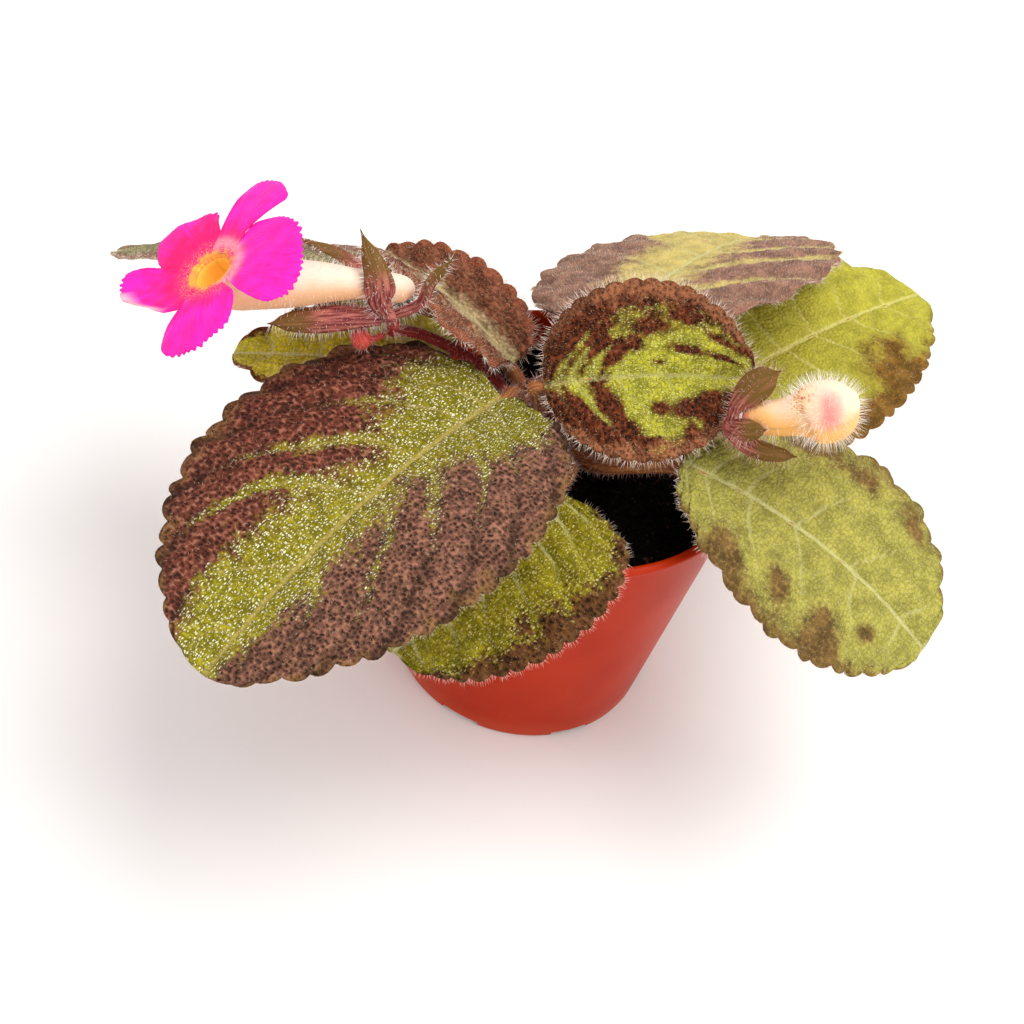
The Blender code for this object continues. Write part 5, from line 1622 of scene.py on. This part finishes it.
@dataclass(frozen=True)
class Bud:
    """The hairy bud: a slim tube that swells to a round closed head."""

    knots: tuple = ((24.6, -5.2, 69.6, 0.3), (24.9, -5.2, 69.8, 1.3), (25.6, -5.2, 70.1, 2.0), (27.5, -5.0, 70.8, 2.8),
                    (30.0, -5.0, 71.8, 3.1), (32.4, -4.8, 73.0, 3.6), (34.5, -4.7, 74.1, 4.5),
                    (36.5, -4.5, 74.9, 4.8), (38.6, -4.4, 75.9, 4.3), (40.2, -4.3, 76.7, 2.8),
                    (40.8, -4.3, 76.95, 1.4), (40.95, -4.3, 77.0, 0.3))
    sides: int = 36

    def build(self, grower: Grower, down: bpy.types.Material) -> None:
        """Build the bud and its long white hairs."""
        line = smooth_line(self.knots, 48)
        sweep = Sweep(line, self.sides)
        full = float(sweep.arc[-1])
        rings = [(arc, max(row[3], 0.25)) for arc, row in zip(sweep.arc, line)]

        def keeps(share: Points, arc: Points, normals: Points) -> dict:
            """Return the bud's numbers: up for the painted highlight on top, blush on the head, freckles behind it and
            the painted shade at the fold.
            """
            view = normals @ np.array([0.0, -0.686, 0.728])
            over = normals @ unit(np.array([-0.3, -0.25, 0.92]))
            # Painted light: up is high on top, which is painted cream as a highlight, and low on the underside,
            # painted peach partly as shade; it also falls towards the base, whose peach is the bud's own.
            up = normals[..., 2] * 0.8 + 0.3 - np.clip(0.9 - arc / full * 1.6, 0, 1)
            head = np.exp(-((arc - full * 0.76) / 2.4) ** 2)
            front = np.clip((view - 0.55) * 2.6, 0, 1)
            round_way = np.linspace(0, 2 * math.pi, self.sides, endpoint=False)
            # Painted shade: a darker line along the fold, where the closed lobes overlap.
            lap = full * 0.56 + 0.9 * np.sin(round_way + 0.8)
            fold = np.exp(-((arc - lap) / 0.3) ** 2)
            return {"up": up, "fold": fold,
                    "blush": head * front * 0.9 + np.clip(1.6 - arc, 0, 1),
                    "freckle": np.exp(-((arc - full * 0.54) / 1.4) ** 2)
                    * np.clip((over - 0.8) * 8, 0, 1),
                    "inside": np.zeros(normals.shape[:2]),
                    "hair": (0.35 + (arc > full * 0.4)) * (arc > full * 0.14)
                    * np.ones(normals.shape[:2])}

        def turns(arc: float, angles: Points) -> Points:
            """Return faint folds where the closed lobes overlap."""
            depth = 0.03 * np.clip((arc - full * 0.5) / 3, 0, 1)
            lap = full * 0.56 + 0.9 * np.sin(angles + 0.8)
            collar = 0.06 * np.clip((arc - lap) / 0.2, -1, 1) * np.clip(3 - arc / lap * 2, 0, 1)
            return 1 + collar - depth * np.abs(np.sin(angles * 2.5 + arc * 0.12)) ** 6

        shape = Shape()
        sweep.add(shape, rings, keeps, 0, turns)
        material = CreamFinish("bud_skin", rgb(250, 222, 194), rgb(252, 186, 104),
                               rgb(246, 152, 36), rgb(240, 104, 112)).material()
        piece = settle(shape.build("bud_piece", [material]), "pale_petal", "bud")
        settle(grower.grow(grower.hair, piece, "bud_hairs", down, Density=1.9e6, Where="hair",
                           Length=0.0024, Radius=0.000045, Lean=0.35), "pale_petal")


@dataclass(frozen=True)
class YoungBud:
    """The very young coral bud on its own short stalk."""

    centre: tuple = (-35.6, -7.6, 68.8)
    line: tuple = ((-35.9, -8.2, 70.9, 0.25), (-35.8, -8.0, 70.2, 1.2), (-35.6, -7.6, 68.9, 1.65),
                   (-35.4, -7.2, 67.8, 1.2), (-34.8, -5.4, 66.7, 0.6), (-32.8, -2.9, 66.6, 0.5))

    def build(self, grower: Grower, down: bpy.types.Material) -> None:
        """Build the young bud and its hairs."""
        line = smooth_line(self.line, 36)
        sweep = Sweep(line, 18)
        rings = [(arc, max(row[3], 0.2)) for arc, row in zip(sweep.arc, line)]
        shape = Shape()
        sweep.add(shape, rings, lambda share, arc, normals: {
            "along": np.zeros(normals.shape[:2]), "hair": np.ones(normals.shape[:2])}, 0,
            lambda arc, angles: 1 + 0.06 * np.sin(angles * 5))
        skin = Tissue("young_bud_skin", rgb(226, 96, 84), rgb(196, 62, 62), rgb(226, 96, 84))
        piece = settle(shape.build("young_bud_piece", [skin.material()]), "sepal_tissue",
                       "young_bud")
        settle(grower.grow(grower.hair, piece, "young_bud_hairs", down, Density=2.4e6,
                           Where="hair", Length=0.0011, Radius=0.00004, Lean=0.5),
               "sepal_tissue")


# Pot and soil

@dataclass(frozen=True)
class Pot:
    """The tapered pot with its rolled lip, notched foot ring and drain holes."""

    height: float = 53.0
    rim_radius: float = 30.0
    rim_depth: float = 1.3
    rim_step: float = 0.9
    foot_radius: float = 22.6
    foot_width: float = 1.6
    foot_height: float = 1.4
    wall: float = 0.9
    floor_top: float = 2.6
    steps: int = 144
    notches: int = 7
    notch_width: float = 7.0
    notch_height: float = 1.0
    notch_angle: float = -108.0
    drains: int = 4
    drain_radius: float = 3.0
    drain_ring: float = 13.0

    def wall_radius(self, height: float) -> float:
        """Return the wall's outer radius at a height."""
        top = self.rim_radius - self.rim_step
        return self.foot_radius + (top - self.foot_radius) * height / (
            self.height - self.rim_depth)

    def profile(self) -> list:
        """Return the wall's outline as (radius, height) pairs, down its outer side."""
        under = self.height - self.rim_depth
        r, h = self.rim_radius, self.height
        inside = self.wall_radius(self.floor_top + 1.2) - self.wall
        outline = [(0.0, self.floor_top), (inside - 1.2, self.floor_top),
                   (inside - 0.35, self.floor_top + 0.35), (inside, self.floor_top + 1.2),
                   (self.wall_radius(under) - self.wall, under - 0.8),
                   (r - 1.6, h - 0.9), (r - 1.45, h - 0.35), (r - 1.15, h - 0.08),
                   (r - 0.8, h), (r - 0.4, h - 0.06), (r - 0.12, h - 0.25), (r, h - 0.5),
                   (r, under + 0.25), (r - 0.1, under + 0.05), (r - 0.4, under - 0.02),
                   (self.wall_radius(under) + 0.08, under - 0.12)]
        for k in range(12):
            level = (under - 0.4) * (1 - k / 11) + 0.5
            outline.append((self.wall_radius(level), level))
        outline += [(self.foot_radius - 0.05, 0.15), (self.foot_radius - 0.3, 0.0),
                    (self.foot_radius - self.foot_width + 0.1, 0.0),
                    (self.foot_radius - self.foot_width - 0.2, self.foot_height),
                    (0.0, self.foot_height)]
        return outline

    def build(self) -> None:
        """Turn the pot, cut its notches and holes, and finish it."""
        mesh = bpy.data.meshes.new("pot_piece")
        outline = self.profile()
        mesh.from_pydata([(r * MM, 0, z * MM) for r, z in outline],
                         [(i, i + 1) for i in range(len(outline) - 1)], [])
        pot = bpy.data.objects.new("pot_piece", mesh)
        bpy.context.scene.collection.objects.link(pot)
        screw = pot.modifiers.new("turn", "SCREW")
        screw.steps = screw.render_steps = self.steps
        screw.use_merge_vertices = True
        screw.merge_threshold = 0.00002
        screw.use_normal_calculate = True
        cutters = self._cutters()
        for cutter in cutters:
            cut = pot.modifiers.new("cut", "BOOLEAN")
            cut.operation = "DIFFERENCE"
            cut.object = cutter
        graph = bpy.context.evaluated_depsgraph_get()
        graph.update()
        done = bpy.data.meshes.new_from_object(pot.evaluated_get(graph))
        pot.modifiers.clear()
        pot.data = done
        for cutter in cutters:
            bpy.data.objects.remove(cutter, do_unlink=True)
        for vertex in done.vertices:
            vertex.co += Vector(AXIS * MM)
        done.materials.clear()
        done.materials.append(PotFinish().material())
        done.shade_smooth()
        done.set_sharp_from_angle(angle=math.radians(42))
        settle(pot, "pot_plastic", "pot")

    def _cutters(self) -> list[bpy.types.Object]:
        """Return the boxes that cut the notches and the rods that cut the drain holes."""
        made = []
        for k in range(self.notches):
            angle = math.radians(self.notch_angle + k * 360 / self.notches)
            work = bmesh.new()
            bmesh.ops.create_cube(work, size=1.0)
            for vertex in work.verts:
                along = self.foot_radius + 8 * vertex.co.x
                across = self.notch_width * vertex.co.y
                level = 2 * self.notch_height * vertex.co.z
                vertex.co = Vector((along * math.cos(angle) - across * math.sin(angle),
                                    along * math.sin(angle) + across * math.cos(angle),
                                    level)) * MM
            made.append(self._cutter(work))
        for k in range(self.drains):
            angle = math.radians(45 + k * 360 / self.drains)
            work = bmesh.new()
            bmesh.ops.create_cone(work, cap_ends=True, segments=32,
                                  radius1=self.drain_radius * MM,
                                  radius2=self.drain_radius * MM, depth=6 * MM)
            move = Vector((self.drain_ring * math.cos(angle), self.drain_ring * math.sin(angle),
                           self.floor_top - 0.6)) * MM
            for vertex in work.verts:
                vertex.co += move
            made.append(self._cutter(work))
        return made

    @staticmethod
    def _cutter(work: bmesh.types.BMesh) -> bpy.types.Object:
        """Return a helper object made from a working mesh."""
        mesh = bpy.data.meshes.new("cutter")
        work.to_mesh(mesh)
        work.free()
        helper = bpy.data.objects.new("cutter", mesh)
        bpy.context.scene.collection.objects.link(helper)
        return helper


@dataclass(frozen=True)
class Soil:
    """The peat that fills the pot, rough on top, with loose crumbs."""

    top: float = 47.0
    low: float = 3.1
    gap: float = 0.3
    rings: int = 44
    steps: int = 120
    crumbs: float = 8.0e5

    def build(self, pot: Pot, grower: Grower) -> None:
        """Build the soil and its crumbs.

        Args:
            pot: the pot that it fills.
            grower: the maker of crumbs.
        """
        angles = np.linspace(0, 2 * math.pi, self.steps, endpoint=False)[None, :]
        wide = pot.wall_radius(self.top) - pot.wall - self.gap
        radius = wide * (np.arange(1, self.rings + 1)[:, None] / self.rings) ** 0.9
        x, y = radius * np.cos(angles), radius * np.sin(angles)
        rough = (ripple(x * 0.35, y * 0.35, 1.0) * 0.45 + ripple(x * 1.1, y * 1.1, 2.0) * 0.35
                 + ripple(x * 2.3, y * 2.3, 5.0) * 0.2)
        z = self.top + rough - 0.9 * (radius / wide) ** 8
        grid = [np.stack(np.broadcast_arrays(x, y, z), -1)]
        for level, shrink in ((self.top - 3, 0.0), (self.low + 1.2, 0.0), (self.low, 1.6)):
            r = pot.wall_radius(level) - pot.wall - self.gap - shrink
            grid.append(np.stack(np.broadcast_arrays(r * np.cos(angles), r * np.sin(angles),
                                                     level + 0 * angles), -1))
        points = np.vstack(grid)
        shape = Shape()
        loose = np.zeros(points.shape[:2])
        loose[:self.rings - 1] = 1.0
        flat = points[..., :2]
        first = shape.grid(points, flat, {"hair": loose}, 0, around=True, flip=True)
        for row, turn in ((0, False), (len(points) - 1, True)):
            middle = shape.put(points[row].mean(0)[None, :], np.zeros((1, 2)), {"hair": 0.0})
            start = first + row * self.steps
            fan = [(middle, start + j, start + (j + 1) % self.steps)
                   for j in range(self.steps)]
            shape.join([trio[::-1] if turn else trio for trio in fan])
        finish = PeatFinish()
        piece = settle(shape.build("soil_piece", [finish.material("peat", 0.0)]), "peat_soil",
                       "soil")
        settle(grower.grow(grower.crumb, piece, "soil_crumbs", finish.material("crumbs", 0.12),
                           Density=self.crumbs, Where="hair", Length=0.001, Radius=0.0007,
                           Lean=3.0, Least=0.25), "peat_soil")


@dataclass(frozen=True)
class Studio:
    """The pale floor, the soft lights and the camera at the photograph's angle."""

    look: tuple = (-6.6, 0.0, 31.3)
    distance: float = 327.0
    elevation: float = 46.7
    roll: float = 14.0
    field_of_view: float = 30.0

    def build(self) -> None:
        """Build the floor, the world, the lights and the camera."""
        self._floor()
        self._world()
        look = (np.array(self.look) + AXIS) * MM
        for name, place, size, power, tint in (
                ("key", (0.3, 0.1, 0.95), 0.8, 7.8, (1.0, 0.98, 0.95)),
                ("fill", (0.75, -0.6, 0.45), 0.7, 3.4, (1.0, 0.98, 0.96)),
                ("side", (-0.8, -0.4, 0.5), 0.7, 2.2, (1.0, 1.0, 1.0))):
            light = bpy.data.lights.new(name, "AREA")
            light.size = size
            light.energy = power
            light.color = tint
            lamp = bpy.data.objects.new(name, light)
            lamp.location = Vector(place) + Vector(look)
            lamp.rotation_euler = (-Vector(place)).to_track_quat("-Z", "Y").to_euler()
            bpy.context.scene.collection.objects.link(lamp)
        camera = bpy.data.cameras.new("camera")
        camera.sensor_width = 36.0
        camera.lens = 18.0 / math.tan(math.radians(self.field_of_view / 2))
        camera.clip_start = 0.01
        camera.clip_end = 20.0
        view = bpy.data.objects.new("camera", camera)
        tilt = math.radians(self.elevation)
        back = Vector((0.0, -math.cos(tilt), math.sin(tilt)))
        view.location = Vector(look) + back * self.distance * MM
        turn = (-back).to_track_quat("-Z", "Y").to_matrix()
        right, up = turn.col[0], turn.col[1]
        spin = math.radians(self.roll)
        turn.col[0], turn.col[1] = (right * math.cos(spin) + up * math.sin(spin),
                                    up * math.cos(spin) - right * math.sin(spin))
        view.rotation_euler = turn.to_euler()
        bpy.context.scene.collection.objects.link(view)
        bpy.context.scene.camera = view
        bpy.context.scene.view_settings.view_transform = "Standard"

    @staticmethod
    def _floor() -> None:
        """Build the floor under the pot."""
        mesh = bpy.data.meshes.new("floor")
        work = bmesh.new()
        bmesh.ops.create_grid(work, x_segments=2, y_segments=2, size=3.0)
        work.to_mesh(mesh)
        work.free()
        floor = bpy.data.objects.new("floor", mesh)
        floor.location.z = -0.0002
        paper = Finish("floor_paper")
        cloud = paper.noise(paper.solid(), 60.0, 2.0)
        colour = paper.mix(cloud, rgb(248, 247, 245), rgb(252, 251, 250))
        mesh.materials.append(paper.dress(colour, 0.9))
        bpy.context.scene.collection.objects.link(floor)

    @staticmethod
    def _world() -> None:
        """Light the scene evenly from all round."""
        world = bpy.data.worlds.new("studio")
        world.use_nodes = True
        world.node_tree.nodes["Background"].inputs["Color"].default_value = (1, 1, 1, 1)
        world.node_tree.nodes["Background"].inputs["Strength"].default_value = 0.62
        bpy.context.scene.world = world


FLOWER_SEPALS = Calyx("flower_sepals", (-32.0, -6.6, 74.1, 1.2), (
    (((-32.2, -7.3, 74.7), (-33.3, -8.7, 78.1), (-34.6, -7.4, 81.9), (-39.0, -1.4, 84.9)),
     (2.4, 3.4, 4.8, 3.6, 0.8), (0.1, -0.75, 0.65)),
    (((-31.3, -6.8, 74.3), (-27.6, -6.0, 77.1), (-26.4, -5.6, 81.5), (-24.5, -3.9, 85.5)),
     (1.8, 2.2, 2.6, 2.4, 0.8), (0.7, -0.6, 0.4)),
    (((-32.2, -5.8, 73.5), (-35.6, -0.6, 75.2), (-41.5, 0.2, 78.2), (-47.2, -1.4, 80.0)),
     (2.2, 3.0, 3.6, 3.2, 0.9), (-0.1, 0.1, 1.0)),
    (((-33.0, -7.2, 73.7), (-38.0, -9.8, 74.3), (-43.5, -12.2, 74.1), (-49.0, -14.8, 73.9)),
     (2.2, 3.4, 4.2, 3.4, 1.0), (-0.1, -0.8, 0.6)),
    (((-32.6, -5.8, 73.1), (-36.0, -5.8, 72.3), (-39.5, -5.8, 71.9), (-42.5, -6.0, 71.5)),
     (2.0, 2.8, 3.2, 2.6, 0.8), (-0.2, -0.5, 0.8))))
BUD_SEPALS = Calyx("bud_sepals", (23.0, -5.6, 67.9, 1.15), (
    (((22.8, -5.6, 68.4), (23.0, -5.3, 72.6), (25.1, -3.7, 76.2), (28.0, -2.2, 78.6)),
     (1.8, 2.2, 4.8, 4.6, 1.2), (-0.2, -0.6, 0.8)),
    (((22.8, -5.8, 68.0), (24.0, -8.3, 70.2), (26.0, -9.1, 71.4), (28.0, -9.2, 72.4)),
     (2.0, 3.2, 3.6, 2.6, 0.8), (0.0, -0.8, 0.6)),
    (((22.9, -5.7, 67.3), (26.0, -7.9, 67.2), (30.0, -8.9, 67.6), (34.0, -8.7, 68.0)),
     (2.0, 2.6, 3.0, 2.4, 1.0), (0.1, -0.8, 0.6)),
    (((22.9, -4.8, 67.6), (26.6, -3.0, 67.7), (30.6, -2.0, 67.9), (34.0, -1.2, 68.4)),
     (2.0, 2.6, 3.0, 2.2, 0.8), (0.1, 0.2, 1.0))), 0.25)
FLOWER_STALK = Stalk("flower_stalk", (
    (-31.2, -5.9, 72.1, 0.95), (-31.6, -3.6, 68.4, 0.9), (-30.6, 0.4, 65.4, 0.9),
    (-25.8, 3.7, 62.3, 0.9), (-17.0, 2.4, 60.2, 0.9)), (176, 57.2))
BUD_STALK = Stalk("bud_stalk", (
    (23.4, -5.0, 66.0, 0.8), (24.0, -3.6, 64.3, 0.8), (21.4, -0.8, 63.0, 0.8),
    (15.0, 0.6, 61.4, 0.8), (8.0, 0.6, 59.4, 0.8)), (12, 57.5))


def main() -> None:
    """Build every piece in order, then the studio."""
    logging.basicConfig(level=logging.INFO, format="%(name)s: %(message)s")
    downs = {
        "cream": Down("cream_down", rgb(222, 208, 170), rgb(250, 246, 224)).material(),
        "rosy": Down("rosy_down", rgb(200, 140, 122), rgb(240, 212, 198)).material(),
        "pale": Down("pale_down", rgb(226, 196, 172), rgb(250, 236, 222)).material(),
        "white": Down("white_down", rgb(250, 240, 228), rgb(255, 252, 246)).material(),
    }
    grower = Grower()
    pot = Pot()
    pot.build()
    Soil().build(pot, grower)
    stem = Stem()
    stem.build(grower, downs["rosy"])
    for leaf in LEAVES:
        leaf.build(stem, grower, downs)
    bloom = Bloom()
    bloom.build_tube(grower, downs["white"])
    bloom.build_limb()
    FLOWER_SEPALS.build(grower, downs["white"])
    FLOWER_STALK.build(stem, grower, downs["rosy"])
    YoungBud().build(grower, downs["rosy"])
    Bud().build(grower, downs["white"])
    BUD_SEPALS.build(grower, downs["rosy"])
    BUD_STALK.build(stem, grower, downs["rosy"])
    Studio().build()


if __name__ == "__main__":
    main()
